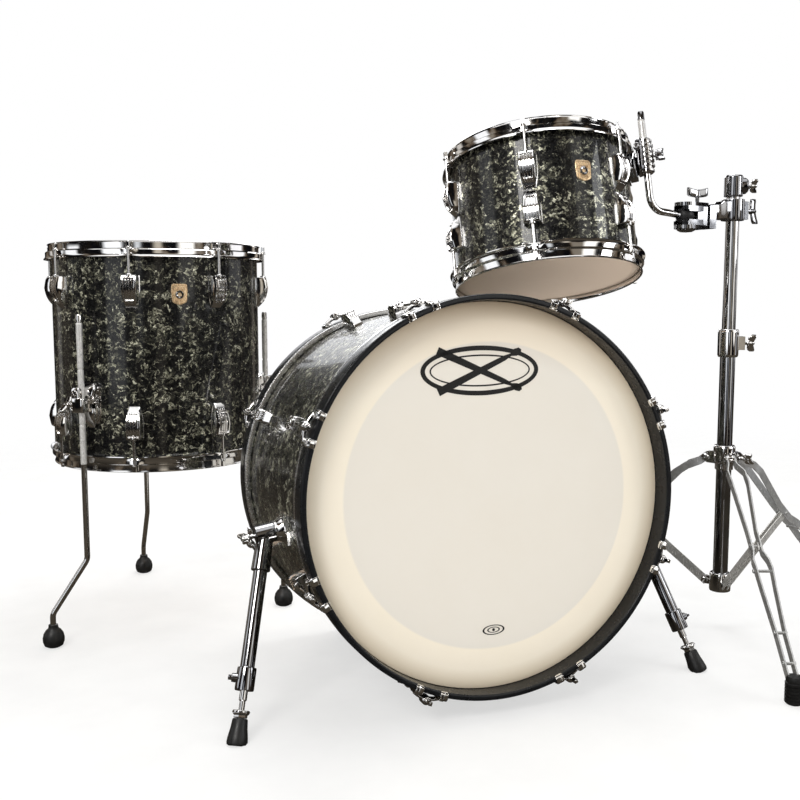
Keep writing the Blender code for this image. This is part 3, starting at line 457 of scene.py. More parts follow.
# In each head the third colour, for the rim, is painted shade from the hoop; the front head's last number
# sets painted shade over its top.
FRONT_HEAD = head_material(
    "front_head_finish_and_shade", (0.860, 0.815, 0.735), (0.985, 0.905, 0.760), (0.84, 0.73, 0.56), 0.79, 0.3070,
    0.55,
)
HEAD = head_material(
    "coated_head_finish_and_shade", (0.84, 0.82, 0.78), (0.86, 0.84, 0.79), (0.78, 0.74, 0.66), 0.90, 0.3070,
)
CLEAR_HEAD = head_material(
    "frosted_head_finish_and_shade", (0.92, 0.73, 0.57), (0.90, 0.71, 0.55), (0.62, 0.49, 0.38), 0.90, 0.1680,
)
RUBBER = plastic_material("rubber_finish", (0.006, 0.006, 0.006), (0.016, 0.016, 0.016), 0.32, 0.50)
NYLON = plastic_material("nylon_finish", (0.008, 0.008, 0.009), (0.020, 0.020, 0.022), 0.42, 0.60)
INK = ink_material()

# ---------------------------------------------------------------- shapes


class Shape:
    """Points and faces of one piece before they become a mesh."""

    def __init__(self):
        self.points = []
        self.faces = []

    def add(self, points, faces, place=IDENTITY):
        base = len(self.points)
        self.points.extend(place @ Vector(point) for point in points)
        self.faces.extend(tuple(base + index for index in face) for face in faces)
        return self

    def rings(self, rings, place=IDENTITY, capped=True, looped=False):
        """Join rings of equal counts with quads; cap the two ends, or join the last to the first."""
        count = len(rings[0])
        points = [point for ring in rings for point in ring]
        faces = []
        last = len(rings) if looped else len(rings) - 1
        for row in range(last):
            one, two = row * count, (row + 1) % len(rings) * count
            for step in range(count):
                after = (step + 1) % count
                faces.append((one + step, one + after, two + after, two + step))
        if capped and not looped:
            faces.append(tuple(reversed(range(count))))
            faces.append(tuple(range(len(points) - count, len(points))))
        return self.add(points, faces, place)

    def lathe(self, profile, facets=48, place=IDENTITY, closed=True):
        """Turn (radius, height) points round Z; an open profile ends on the axis."""
        points, faces, columns = [], [], []
        for radius, height in profile:
            if radius == 0:
                columns.append([len(points)] * facets)
                points.append((0, 0, height))
            else:
                columns.append(list(range(len(points), len(points) + facets)))
                points.extend(polar(radius, 2 * math.pi * step / facets, height) for step in range(facets))
        pairs = list(zip(columns, columns[1:]))
        if closed:
            pairs.append((columns[-1], columns[0]))
        for one, two in pairs:
            for step in range(facets):
                after = (step + 1) % facets
                corners = dict.fromkeys((one[step], one[after], two[after], two[step]))
                faces.append(tuple(corners))
        return self.add(points, faces, place)

    def rod(self, start, end, radius, facets=20, tip=None):
        start = Vector(start)
        axis = Vector(end) - start
        profile = [(0, 0), (radius, 0), (radius if tip is None else tip, axis.length), (0, axis.length)]
        return self.lathe(profile, facets, Matrix.Translation(start) @ aimed(axis), closed=False)

    def sweep(self, path, section):
        """Carry a closed 2-D section, one list of (side, up) points or one per point, along a path."""
        sections = section if isinstance(section[0], list) else [section] * len(path)
        ways = [(after - before).normalized() for before, after in zip(path, path[1:])]
        ways = [ways[0]] + [(one + two).normalized() for one, two in zip(ways, ways[1:])] + [ways[-1]]
        side = ways[0].orthogonal().normalized()
        rings = []
        for point, way, outline in zip(path, ways, sections):
            side = (side - way * side.dot(way)).normalized()
            other = way.cross(side)
            rings.append([point + side * u + other * v for u, v in outline])
        return self.rings(rings)

    def prism(self, outline, low, high, place=IDENTITY):
        """A plate: a 2-D outline in XY between two heights."""
        rings = [[Vector((x, y, height)) for x, y in outline] for height in (low, high)]
        return self.rings(rings, place)

    def block(self, low, high, place=IDENTITY):
        outline = [(low[0], low[1]), (high[0], low[1]), (high[0], high[1]), (low[0], high[1])]
        return self.prism(outline, low[2], high[2], place)


def circle(radius, facets=20):
    return [
        (radius * math.cos(2 * math.pi * k / facets), radius * math.sin(2 * math.pi * k / facets))
        for k in range(facets)
    ]


def oblong(width, height, radius, steps=4):
    """A rectangle with round corners, as (x, y) points round its middle."""
    points = []
    for quarter, (sx, sy) in enumerate(((1, 1), (-1, 1), (-1, -1), (1, -1))):
        centre = (sx * (width / 2 - radius), sy * (height / 2 - radius))
        for step in range(steps + 1):
            angle = math.pi / 2 * (quarter + step / steps)
            points.append((centre[0] + radius * math.cos(angle), centre[1] + radius * math.sin(angle)))
    return points


def rounded_path(corners, radius, steps=8):
    """The points of a bent bar whose inner corners are arcs."""
    path = [Vector(corners[0])]
    for before, corner, after in zip(corners, corners[1:], corners[2:]):
        arrive = (Vector(corner) - Vector(before)).normalized()
        leave = (Vector(after) - Vector(corner)).normalized()
        turn = arrive.angle(leave)
        centre = Vector(corner) + (leave - arrive).normalized() * (radius / math.cos(turn / 2))
        start = Vector(corner) - arrive * (radius * math.tan(turn / 2))
        axis = arrive.cross(leave).normalized()
        for step in range(steps + 1):
            path.append(centre + Matrix.Rotation(turn * step / steps, 3, axis) @ (start - centre))
    path.append(Vector(corners[-1]))
    return path


def softened(profile, radius, steps=3, closed=True):
    """A profile whose corners are small arcs; points on the axis stay."""
    made = []
    count = len(profile)
    for index, corner in enumerate(profile):
        here = Vector(corner)
        ends = not closed and index in (0, count - 1)
        if ends or corner[0] == 0:
            made.append(tuple(here))
            continue
        before = Vector(profile[index - 1]) - here
        after = Vector(profile[(index + 1) % count]) - here
        cut = min(radius, before.length * 0.45, after.length * 0.45)
        start, end = here + before.normalized() * cut, here + after.normalized() * cut
        for step in range(steps + 1):
            t = step / steps
            made.append(tuple((1 - t) ** 2 * start + 2 * t * (1 - t) * here + t * t * end))
    return made


def mesh_of(name, shape, material):
    mesh = bpy.data.meshes.new(name)
    mesh.from_pydata([tuple(point) for point in shape.points], [], shape.faces)
    work = bmesh.new()
    work.from_mesh(mesh)
    bmesh.ops.remove_doubles(work, verts=work.verts, dist=1e-7)
    bmesh.ops.recalc_face_normals(work, faces=work.faces)
    work.to_mesh(mesh)
    work.free()
    mesh.shade_smooth()
    mesh.set_sharp_from_angle(angle=math.radians(38))
    mesh.materials.append(material)
    return mesh


def piece(name, source, body, place=IDENTITY, bevel=0.0, replaces=(), segments=2):
    """Put a mesh in the scene as a named piece that rides on a body."""
    item = bpy.data.objects.new(name, source)
    bpy.context.scene.collection.objects.link(item)
    item.matrix_world = place
    if bevel:
        soft = item.modifiers.new("edge", "BEVEL")
        soft.width = bevel
        soft.segments = segments
        soft.limit_method = "ANGLE"
        soft.angle_limit = math.radians(32)
        soft.harden_normals = True
    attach(item, body)
    if replaces:
        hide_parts(*replaces)
    return item


# ---------------------------------------------------------------- shared parts


def wing_mesh(name, half_span, shank=0.006, knob=0.0062, lobe=0.0075, square=False):
    """A cast thumb screw along +Z: shank, waisted hub and two curved lobes that thicken at their tips."""
    shape = Shape()
    hub = [
        (0, -0.001), (0.0036, -0.001), (0.0036, shank), (knob, shank + 0.001), (knob, shank + 0.003),
        (knob * 0.80, shank + 0.008),
    ]
    hub += [(knob * 0.72, shank + 0.012), (knob * 0.45, shank + 0.0145), (0, shank + 0.015)]
    shape.lathe(softened(hub, 0.0008, closed=False), 24, closed=False)
    for side in (-1, 1):
        rings = []
        for step in range(7):
            t = step / 6
            x = side * (knob * 0.35 + (half_span - knob * 0.35) * t)
            tall = lobe * (
                0.96 + 0.10 * t if square else 0.62 + 0.48 * math.sin(math.pi * min(t * 0.62 + 0.12, 1))
            )
            thick = 0.0024 + 0.0012 * t
            if step == 6:
                tall, thick = tall * (0.93 if square else 0.72), thick * 0.6
            rise = shank + 0.0075 + 0.0035 * t * t
            outline = oblong(thick * 2, tall * 1.5, thick * 0.8, 3)
            rings.append([Vector((x, u, rise + v)) for u, v in outline])
        shape.rings(rings)
    return mesh_of(name, shape, DARK_CHROME if square else CHROME)


def key_rod_mesh(name, length, washer=0.0052, head=0.0125):
    """A key rod along -Z from its washer at z = 0, with its square head above."""
    shape = Shape()
    shape.rod((0, 0, 0), (0, 0, -length), 0.0027, 16)
    shape.lathe(
        softened([(0, -0.0016), (washer, -0.0016), (washer, 0), (0, 0)], 0.0004, closed=False), 24,
        closed=False,
    )
    shape.lathe(
        softened(
            [(0, 0), (0.0042, 0), (0.0046, 0.0020), (0.0036, 0.0034), (0, 0.0034)], 0.0004, closed=False,
        ),
        24, closed=False,
    )
    shape.prism(oblong(0.0062, 0.0062, 0.0006, 1), 0.0030, head, IDENTITY)
    shape.lathe(
        [(0, head - 0.0002), (0.0026, head - 0.0002), (0.0020, head + 0.0006), (0, head + 0.0008)], 16,
        closed=False,
    )
    return mesh_of(name, shape, CHROME)


LUG_CREST = ((0.0, 0.80), (0.12, 0.90), (0.35, 1.0), (0.60, 0.88), (0.80, 0.62), (0.92, 0.34), (1.0, 0.12))


def crest(share):
    """How far a lug's back stands out, as a share of its greatest reach."""
    for (low, one), (high, two) in zip(LUG_CREST, LUG_CREST[1:]):
        if share <= high:
            t = (share - low) / (high - low)
            return one + (two - one) * t
    return LUG_CREST[-1][1]


def lug_mesh(name, length, reach, width_near, width_far):
    """A cast lug along +Z on the shell: an arched back with a raised frame, three ribs and a socket."""
    shape = Shape()
    stations = (0.0, 0.02, 0.06, 0.09, 0.20, 0.35, 0.50, 0.64, 0.74, 0.78, 0.86, 0.93, 0.98, 1.0)
    sunk = (0.0, 0.0, 0.0, 0.0028, 0.0030, 0.0030, 0.0030, 0.0030, 0.0026, 0.0, 0.0, 0.0, 0.0, 0.0)
    rings = []
    for share, depth in zip(stations, sunk):
        z = length * share
        narrow = max(0.0, (share - 0.45) / 0.55) ** 1.6
        half = (width_near + (width_far - width_near) * narrow) / 2
        top = reach * crest(share)
        if share == 0.0:
            half, top = half * 0.96, top * 0.96
        rim = half - 0.0036
        rings.append(
            [
                Vector((-0.001, -half, z)),
                Vector((0.0012, -half, z)),
                Vector((0.0018, -half * 0.93, z)),
                Vector((top * 0.78, -half * 0.90, z)),
                Vector((top, -half * 0.76, z)),
                Vector((top, -rim * 0.80, z)),
                Vector((top - depth, -rim * 0.70, z)),
                Vector((top - depth, rim * 0.70, z)),
                Vector((top, rim * 0.80, z)),
                Vector((top, half * 0.76, z)),
                Vector((top * 0.78, half * 0.90, z)),
                Vector((0.0018, half * 0.93, z)),
                Vector((0.0012, half, z)),
                Vector((-0.001, half, z)),
            ]
        )
    shape.rings(rings)
    for side in (-1, 0, 1):
        rings = []
        for share, drop in (
            (0.10, 0.0024), (0.15, 0.0002), (0.35, 0.0), (0.55, 0.0), (0.68, 0.0002), (0.72, 0.0022),
        ):
            top = reach * crest(share)
            outline = (
                (top - 0.0045, -0.0014), (top - drop, -0.0010), (top - drop, 0.0010),
                (top - 0.0045, 0.0014),
            )
            rings.append([Vector((x, y + side * width_near * 0.150, length * share)) for x, y in outline])
        shape.rings(rings)
    for side in (-1.5, -0.5, 0.5, 1.5):
        top = reach * crest(0.81)
        for lean in (-1, 1):
            ridge = []
            for share, push in ((0.785, -0.0009), (0.855, 0.0009)):
                here = reach * crest(share) + 0.0003
                ridge.append(Vector((here, side * width_far * 0.19 + lean * push, length * share)))
            shape.sweep(ridge, circle(0.00045, 6))
    socket = [(0, 0.004), (0.0060, 0.004), (0.0060, -0.0022), (0.0050, -0.0030), (0, -0.0030)]
    offset = TOM_ROD_OFFSET if reach < 0.025 else BASS_ROD_CIRCLE - BASS_RADIUS
    shape.lathe(softened(socket, 0.0006, closed=False), 24, shifted(offset, 0, 0), closed=False)
    return mesh_of(name, shape, CHROME)


def flip(place):
    """A frame turned end for end about its own Y, so that +Z points the other way and +X stays outward."""
    return place @ Matrix.Diagonal((1, 1, -1, 1))


def head_mesh(name, radius, material):
    """A film with a shallow collar: z = 0 on the bearing edge, +Z outward."""
    profile = [
        (0, 0.0016), (radius * 0.5, 0.0016), (radius * 0.93, 0.0015), (radius * 0.975, 0.0012),
        (radius - 0.0015, 0.0010),
    ]
    profile += [
        (radius + 0.0010, 0.0004), (radius + 0.0016, -0.0014), (radius + 0.0016, -0.0050),
        (radius + 0.0008, -0.0050),
    ]
    profile += [(radius + 0.0006, 0.0004), (radius * 0.97, 0.0003), (0, 0.0004)]
    shape = Shape()
    shape.lathe(profile, 128, closed=False)
    return mesh_of(name, shape, material)


def flesh_hoop_mesh(name, radius, reach, drop, tall):
    shape = Shape()
    profile = [
        (radius + 0.0018, -drop), (radius + reach, -drop), (radius + reach, -drop - tall),
        (radius + 0.0012, -drop - tall),
    ]
    shape.lathe(softened(profile, 0.0012), 128)
    return mesh_of(name, shape, ALUMINIUM)


def shell_mesh(name, radius, wall, depth, facets):
    shape = Shape()
    edge = 0.0015
    levels = 10
    profile = [(radius - edge, 0), (radius, edge)]
    profile += [(radius, depth * step / levels) for step in range(1, levels)]
    profile += [
        (radius, depth - edge), (radius - edge, depth), (radius - wall, depth - wall),
        (radius - wall, wall),
    ]
    shape.lathe(profile, facets)
    return mesh_of(name, shape, WRAP)


def tom_hoop_mesh(name, radius, rods):
    """A triple-flanged steel hoop, whose flared skirt widens into an ear at each rod."""
    facets = 240
    outline = [
        (4.9, 11.4), (5.9, 10.4), (5.6, 9.2), (4.2, 8.2), (4.0, 2.0), (4.2, -2.4), (5.4, -3.6),
        (8.8, -4.0), (9.9, -5.2), (10.0, -12.0), (10.4, -14.6), (13.2, -17.6), (13.0, -19.0),
        (11.6, -19.2), (8.6, -16.4), (8.2, -13.0), (8.1, -7.0), (7.2, -5.6),
        (4.4, -5.6), (2.5, -4.4), (2.3, 0.0), (2.3, 9.2), (2.9, 10.8), (3.9, 11.6),
    ]
    rings = []
    for step in range(facets):
        angle = 2 * math.pi * step / facets
        gap = min(abs((angle - rod + math.pi) % (2 * math.pi) - math.pi) for rod in rods) * radius
        ear = max(0.0, 1 - (gap / 0.017) ** 2) ** 1.5
        ring = []
        for reach, height in outline:
            skirt = min(1.0, max(0.0, (reach - 6.5) / 4.0))
            low = 1.0 if height < -3.0 else 0.0
            out = reach + ear * skirt * low * (
                1.2 + 2.2 * max(0.0, (-height - 3) / 16) * -1 + 3.6 * (1.0 if height > -14 else 0.0)
            )
            lift = ear * low * (2.0 if height < -14 else 0.0)
            ring.append(polar(radius + out / 1000, angle, (height + lift) / 1000))
        rings.append(ring)
    shape = Shape()
    shape.rings(rings, looped=True)
    return mesh_of(name, shape, CHROME)


# ---------------------------------------------------------------- bass drum


def claw_mesh():
    """One tension claw: two hooks over the hoop's edge, the yoke and the rod's boss. +Z is outward."""
    shape = Shape()
    seat = BASS_HOOP_OUTER + 0.0004
    for side in (-1, 1):
        turn = turned(side * CLAW_SPREAD)
        outer = [
            (seat - 0.0088, -0.0046), (seat - 0.0086, -0.0018), (seat - 0.0062, 0.0026),
            (seat + 0.0005, 0.0034),
        ]
        outer += [
            (seat + 0.0040, 0.0016), (seat + 0.0050, -0.005), (seat + 0.0052, -0.012),
            (seat + 0.0044, -0.020), (seat + 0.0028, -0.027),
        ]
        inner = [
            (seat, -0.027), (seat, -0.014), (seat, -0.004), (seat - 0.0004, 0.0004),
            (seat - 0.0058, 0.0004),
        ]
        inner += [(seat - 0.0094, 0.0004), (seat - 0.0098, -0.0018), (seat - 0.0098, -0.0046)]
        outline = list(reversed(inner)) + list(reversed(outer))
        rings = []
        for share in (-1.0, -0.72, 0.0, 0.72, 1.0):
            shrink = 0.0 if abs(share) < 0.9 else 0.0008
            ring = []
            for x, z in outline:
                centre = Vector((seat - 0.001, 0, -0.010))
                push = (Vector((x, 0, z)) - centre).normalized() * shrink
                ring.append(Vector((x, share * 0.0066, z)) - Vector((push.x, 0, push.z)))
            rings.append(ring)
        shape.rings(rings, turn)
        shape.block((seat + 0.0030, -0.0032, -0.022), (seat + 0.0064, 0.0032, -0.004), turn)
    half = BASS_HOOP_OUTER * math.sin(CLAW_SPREAD)
    arch = []
    for step in range(9):
        t = step / 8 * 2 - 1
        arch.append(Vector((seat + 0.0045 + 0.0050 * (1 - t * t), half * t, -0.0165)))
    shape.sweep(arch, oblong(0.0068, 0.0050, 0.0016, 2))
    shape.lathe(
        softened(
            [
                (0, -0.026), (0.0062, -0.026), (0.0074, -0.022), (0.0074, -0.009), (0.0060, -0.006),
                (0, -0.006),
            ],
            0.0008, closed=False,
        ),
        24,
        shifted(BASS_ROD_CIRCLE, 0, 0),
        closed=False,
    )
    return mesh_of("claw", shape, CHROME)


def bass_drum():
    shell = shell_mesh("bass_wrap", BASS_RADIUS, 0.007, BASS_DEPTH, 192)
    piece("bass_wrap", shell, "bass_drum", BASS @ shifted(0, 0, BASS_REACH), replaces=("bass_shell",))
    hoop = Shape()
    profile = [
        (BASS_HOOP_INNER, 0), (
            BASS_HOOP_INNER, -BASS_HOOP_WIDTH,
        ), (BASS_HOOP_OUTER, -BASS_HOOP_WIDTH), (BASS_HOOP_OUTER, 0),
    ]
    hoop.lathe(softened(profile, 0.0030, 4), 192)
    hoop = mesh_of("bass_hoop", hoop, LACQUER)
    claw = claw_mesh()
    rod = key_rod_mesh("bass_key_rod", 0.060, 0.0056, 0.0135)
    lug = lug_mesh("bass_lug", 0.050, 0.029, 0.026, 0.018)
    flesh = flesh_hoop_mesh("bass_flesh_hoop", BASS_RADIUS, 0.0105, 0.0052, 0.0105)
    film = {
        "front": head_mesh("bass_front_film", BASS_RADIUS, FRONT_HEAD),
        "rear": head_mesh("bass_rear_film", BASS_RADIUS, HEAD),
    }
    for end, place in (("front", BASS_FRONT), ("rear", BASS_REAR)):
        piece(f"bass_{end}_wood_hoop", hoop, "bass_drum", place, replaces=(f"bass_{end}_hoop",))
        edge = place @ shifted(0, 0, -BASS_REACH)
        piece(f"bass_{end}_film", film[end], "bass_drum", edge, replaces=(f"bass_{end}_head",))
        piece(f"bass_{end}_flesh_hoop", flesh, "bass_drum", edge)
        for number, angle in enumerate(BASS_RODS, 1):
            turn = place @ turned(angle)
            item = piece(f"bass_{end}_claw_{number}", claw, "bass_drum", turn, 0.0005)
            if end == "front":
                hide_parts(f"bass_claw_{number}")
            seat = turn @ shifted(BASS_ROD_CIRCLE, 0, -0.0055)
            piece(f"bass_{end}_rod_{number}", rod, "bass_drum", seat, 0.0003)
            near = flip(turn @ shifted(BASS_RADIUS - 0.0005, 0, -BASS_REACH - BASS_LUG_INSET))
            piece(f"bass_{end}_lug_{number}", lug, "bass_drum", near, 0.0006)


def emblem():
    """A printed mark on the front head: two crossed sticks over a long oval ring with a thin oval inside it;
    a small mark of two flat rings and a dot sits lower on the head.
    """
    shape = Shape()
    low, high = 0.0, 0.00025

    def oval(wide, tall, ring):
        outer = [(wide * math.cos(a), tall * math.sin(a)) for a in [2 * math.pi * k / 72 for k in range(72)]]
        inner = [
            ((wide - ring) * math.cos(a), (tall - ring) * math.sin(a))
            for a in [2 * math.pi * k / 72 for k in range(72)]
        ]
        rings = []
        for k in range(72):
            rings.append(
                [
                    Vector((*outer[k], low)), Vector((*outer[k], high)), Vector((*inner[k], high)),
                    Vector((*inner[k], low)),
                ]
            )
        shape.rings(rings, looped=True)

    oval(0.1010, 0.0390, 0.0074)
    oval(0.0860, 0.0250, 0.0024)
    for side in (-1, 1):
        lean = Matrix.Rotation(side * math.radians(24), 4, "Z")
        outline = [(-0.079, -0.0062), (0.045, -0.0040), (0.058, -0.0022), (0.067, -0.0060), (0.075, -0.0046)]
        outline += [
            (0.078, 0.0), (0.075, 0.0046), (0.067, 0.0060), (0.058, 0.0022), (0.045, 0.0040),
            (-0.079, 0.0062),
        ]
        shape.prism(outline, low, high + 0.00004 * (side + 1), lean)
    piece("front_head_mark", mesh_of("front_head_mark", shape, INK), "bass_drum", MARK_PLACE)
    small = Shape()
    for radius, ring in ((0.0128, 0.0020), (0.0074, 0.0016)):
        rings = []
        for k in range(48):
            a = 2 * math.pi * k / 48
            outer, inner = polar(radius, a), polar(radius - ring, a)
            rings.append(
                [
                    Vector((outer.x * 1.5, outer.y * 0.62, low)),
                    Vector((outer.x * 1.5, outer.y * 0.62, high)),
                ]
            )
            rings[-1] += [
                Vector((inner.x * 1.5, inner.y * 0.62, high)), Vector((inner.x * 1.5, inner.y * 0.62, low)),
            ]
        small.rings(rings, looped=True)
    small.prism(circle(0.0024, 20), low, high)
    piece(
        "front_head_small_mark", mesh_of("front_head_small_mark", small, INK), "bass_drum",
        SMALL_MARK_PLACE,
    )


FILM = BASS_FRONT @ shifted(0, 0, -BASS_REACH + 0.0017)
MARK_PLACE = FILM @ shifted(-0.014, 0.198, 0)
SMALL_MARK_PLACE = FILM @ shifted(0.0, -0.214, 0)


def spur(tag):
    pivot, toe, outward = SPURS[tag]
    down = (toe - pivot).normalized()
    along = Matrix.Translation(pivot) @ aimed(down)
    tube = Shape()
    outer = [
        (0, -0.012), (0.0090, -0.011), (0.0125, -0.004), (0.0134, 0.010), (0.0150, 0.056), (0.0152, 0.060),
        (0.0120, 0.0608), (0.0110, 0.0615), (0.0110, 0.208),
    ]
    collar = [
        (0.0142, 0.2085), (0.0146, 0.211), (0.0146, 0.240), (0.0140, 0.2425), (0.0072, 0.2425),
        (0.0072, 0.2400), (0, 0.2400),
    ]
    tube.lathe(outer + collar, 40, along, closed=False)
    tube.rod(pivot - outward * 0.0135, pivot + outward * 0.0165, 0.0165, 36)
    tube.rod(pivot + outward * 0.0165, pivot + outward * 0.0175, 0.0120, 36)
    bolt = pivot + down * 0.225
    side = (outward - down * outward.dot(down)).normalized()
    tube.rod(bolt + side * 0.008, bolt + side * 0.021, 0.0072, 24, 0.0066)
    tube.rod(bolt + side * 0.0205, bolt + side * 0.0265, 0.0042, 6, 0.0040)
    cross = side.cross(down).normalized()
    tube.rod(bolt + side * 0.0235 - cross * 0.0085, bolt + side * 0.0235 + cross * 0.0085, 0.0021, 12)
    piece(
        f"spur_{tag}_leg_tube", mesh_of("spur_tube", tube, DARK_CHROME), f"spur_{tag}", IDENTITY, 0.0006,
        (f"spur_tube_{tag}",),
    )
    rod = Shape()
    rod.lathe(
        softened(
            [(0, 0.110), (0.0060, 0.110), (0.0060, 0.2560), (0.0044, 0.2575), (0.0044, 0.275), (0, 0.275)],
            0.0004, closed=False,
        ),
        24, along, closed=False,
    )
    nut = softened(
        [(0, 0.2705), (0.0128, 0.2705), (0.0128, 0.2755), (0.0104, 0.2775), (0.0104, 0.2815), (0, 0.2815)],
        0.0005, closed=False,
    )
    rod.lathe(nut, 6, along, closed=False)
    rod.lathe(
        [(0, 0.2712), (0.0118, 0.2712), (0.0132, 0.2720), (0.0132, 0.2740), (0.0118, 0.2748), (0, 0.2748)],
        30, along, closed=False,
    )
    piece(
        f"spur_{tag}_inner_rod", mesh_of("spur_rod", rod, CHROME), f"spur_{tag}_rod", IDENTITY, 0.0004,
        (f"spur_rod_{tag}",),
    )
    tip = Shape()
    profile = [
        (0, 0.2823), (0.0105, 0.2823), (0.0116, 0.2840), (0.0128, 0.296), (0.0150, 0.308), (0.0158, 0.3155),
        (0.0150, 0.3195),
    ]
    profile += [(0.0118, 0.3212), (0, 0.3212)]
    tip.lathe(profile, 40, along, closed=False)
    lowest = min(point.z for point in tip.points)
    for point in tip.points:
        point.z = max(point.z, 0.0) if lowest < 0 else point.z
    piece(
        f"spur_{tag}_rubber_tip", mesh_of("spur_tip", tip, RUBBER), f"spur_{tag}_rod", IDENTITY, 0.0,
        (f"spur_tip_{tag}",),
    )
    bracket = Shape()
    local = BASS.inverted() @ pivot
    angle = math.atan2(local.y, local.x)
    radius = math.hypot(local.x, local.y)
    base = BASS @ turned(angle) @ shifted(BASS_RADIUS, 0, local.z) @ FACING_X
    plate = [(0.034, 0.0), (0.024, 0.024), (-0.024, 0.024), (-0.034, 0.0), (-0.024, -0.024), (0.024, -0.024)]
    bracket.prism([(x, y * 0.98) for x, y in plate], -0.0012, 0.0055, base)
    far = radius - BASS_RADIUS - 0.0140
    bracket.lathe(
        softened(
            [(0, 0.004), (0.0225, 0.004), (0.0170, far * 0.8), (0.0165, far), (0, far)], 0.001,
            closed=False,
        ),
        36, base, closed=False,
    )
    for x, y in ((0.0265, 0.0), (-0.0265, 0.0)):
        bracket.lathe(
            [(0, 0.004), (0.0042, 0.004), (0.0042, 0.0068), (0.0030, 0.0084), (0, 0.0088)], 20,
            base @ shifted(x, y, 0), closed=False,
        )
    piece(f"spur_{tag}_bracket", mesh_of("spur_bracket", bracket, CHROME), "bass_drum", IDENTITY, 0.0007)


# ---------------------------------------------------------------- toms


def tom(prefix, body, place, radius, depth, rods, heads):
    shell = shell_mesh(f"{prefix}_wrap", radius, 0.006, depth, 160)
    piece(f"{prefix}_wrap", shell, body, place, replaces=(f"{prefix}_shell",))
    lug = lug_mesh(f"{prefix}_lug", 0.060, 0.0225, 0.0330, 0.0220)
    rod = key_rod_mesh(f"{prefix}_key_rod", 0.047, 0.0056)
    hoop = tom_hoop_mesh(f"{prefix}_hoop", radius, rods)
    top = place @ shifted(0, 0, depth)
    bottom = flip(place)
    for end, edge in (("top", top), ("bottom", bottom)):
        film = head_mesh(f"{prefix}_{end}_film", radius, heads[end])
        piece(f"{prefix}_{end}_film", film, body, edge, replaces=(f"{prefix}_{end}_head",))
        piece(f"{prefix}_{end}_steel_hoop", hoop, body, edge, replaces=(f"{prefix}_{end}_hoop",))
        for number, angle in enumerate(rods, 1):
            turn = edge @ turned(angle)
            piece(
                f"{prefix}_{end}_rod_{number}", rod, body,
                turn @ shifted(radius + TOM_ROD_OFFSET, 0, -0.0035), 0.0003,
            )
            near = flip(turn @ shifted(radius - 0.0004, 0, -TOM_LUG_INSET))
            piece(f"{prefix}_{end}_lug_{number}", lug, body, near, 0.0006)


def badge(name, body, place, radius, angle, height, wide, tall):
    """A small embossed brass plate with a ridged border and a round vent grommet, bent to the shell."""
    shape = Shape()
    corners = ((-0.46, 0.5), (0.46, 0.5), (0.5, 0.2), (0.44, -0.36), (0.0, -0.5), (-0.44, -0.36), (-0.5, 0.2))
    outline = softened([(x * wide + 1, y * tall) for x, y in corners], 0.0040, 4)
    outline = [(x - 1, y) for x, y in outline]
    rings = []
    for scale, lift in (
        (1.0, -0.0004), (1.0, 0.0009), (0.95, 0.0015), (0.87, 0.0015), (0.84, 0.0008), (0.70, 0.0008),
        (0.68, 0.0012),
    ):
        rings.append([bent(radius, x * scale, y * scale, lift) for x, y in outline])
    shape.rings(rings)
    for side in (-1, 1):
        for row in range(4):
            y = tall * (0.27 - 0.035 * row) * side - 0.0008
            half = wide * (0.30 - 0.02 * row)
            bar = [bent(radius, half * (step / 4 - 1), y, 0.0014) for step in range(9)]
            shape.sweep(bar, circle(0.0005, 6))
    piece(name, mesh_of(name, shape, BRASS), body, place @ turned(angle) @ shifted(0, 0, height), 0.0)
    grommet = Shape()
    middle = shifted(radius, 0, 0) @ FACING_X
    grommet.lathe(
        [
            (0.0032, 0.0002), (0.0080, 0.0002), (0.0076, 0.0026), (0.0060, 0.0034), (0.0040, 0.0028),
            (0.0032, 0.0012),
        ],
        32, middle,
    )
    piece(
        f"{name}_grommet", mesh_of(f"{name}_grommet", grommet, DARK_CHROME), body,
        place @ turned(angle) @ shifted(0, 0, height),
    )


def bent(radius, across, up, lift):
    angle = across / radius
    return polar(radius + lift, angle, up)


def jaw(shape, place, stations):
    """A cast lobe on a shell: (height, middle, width, near reach, reach) at each station."""
    rings = []
    for height, middle, width, near, far in stations:
        outline = oblong(far - near, width, min(far - near, width) * 0.34, 4)
        rings.append([Vector((FLOOR_RADIUS + (near + far) / 2 + u, middle + v, height)) for u, v in outline])
    shape.rings(rings, place)


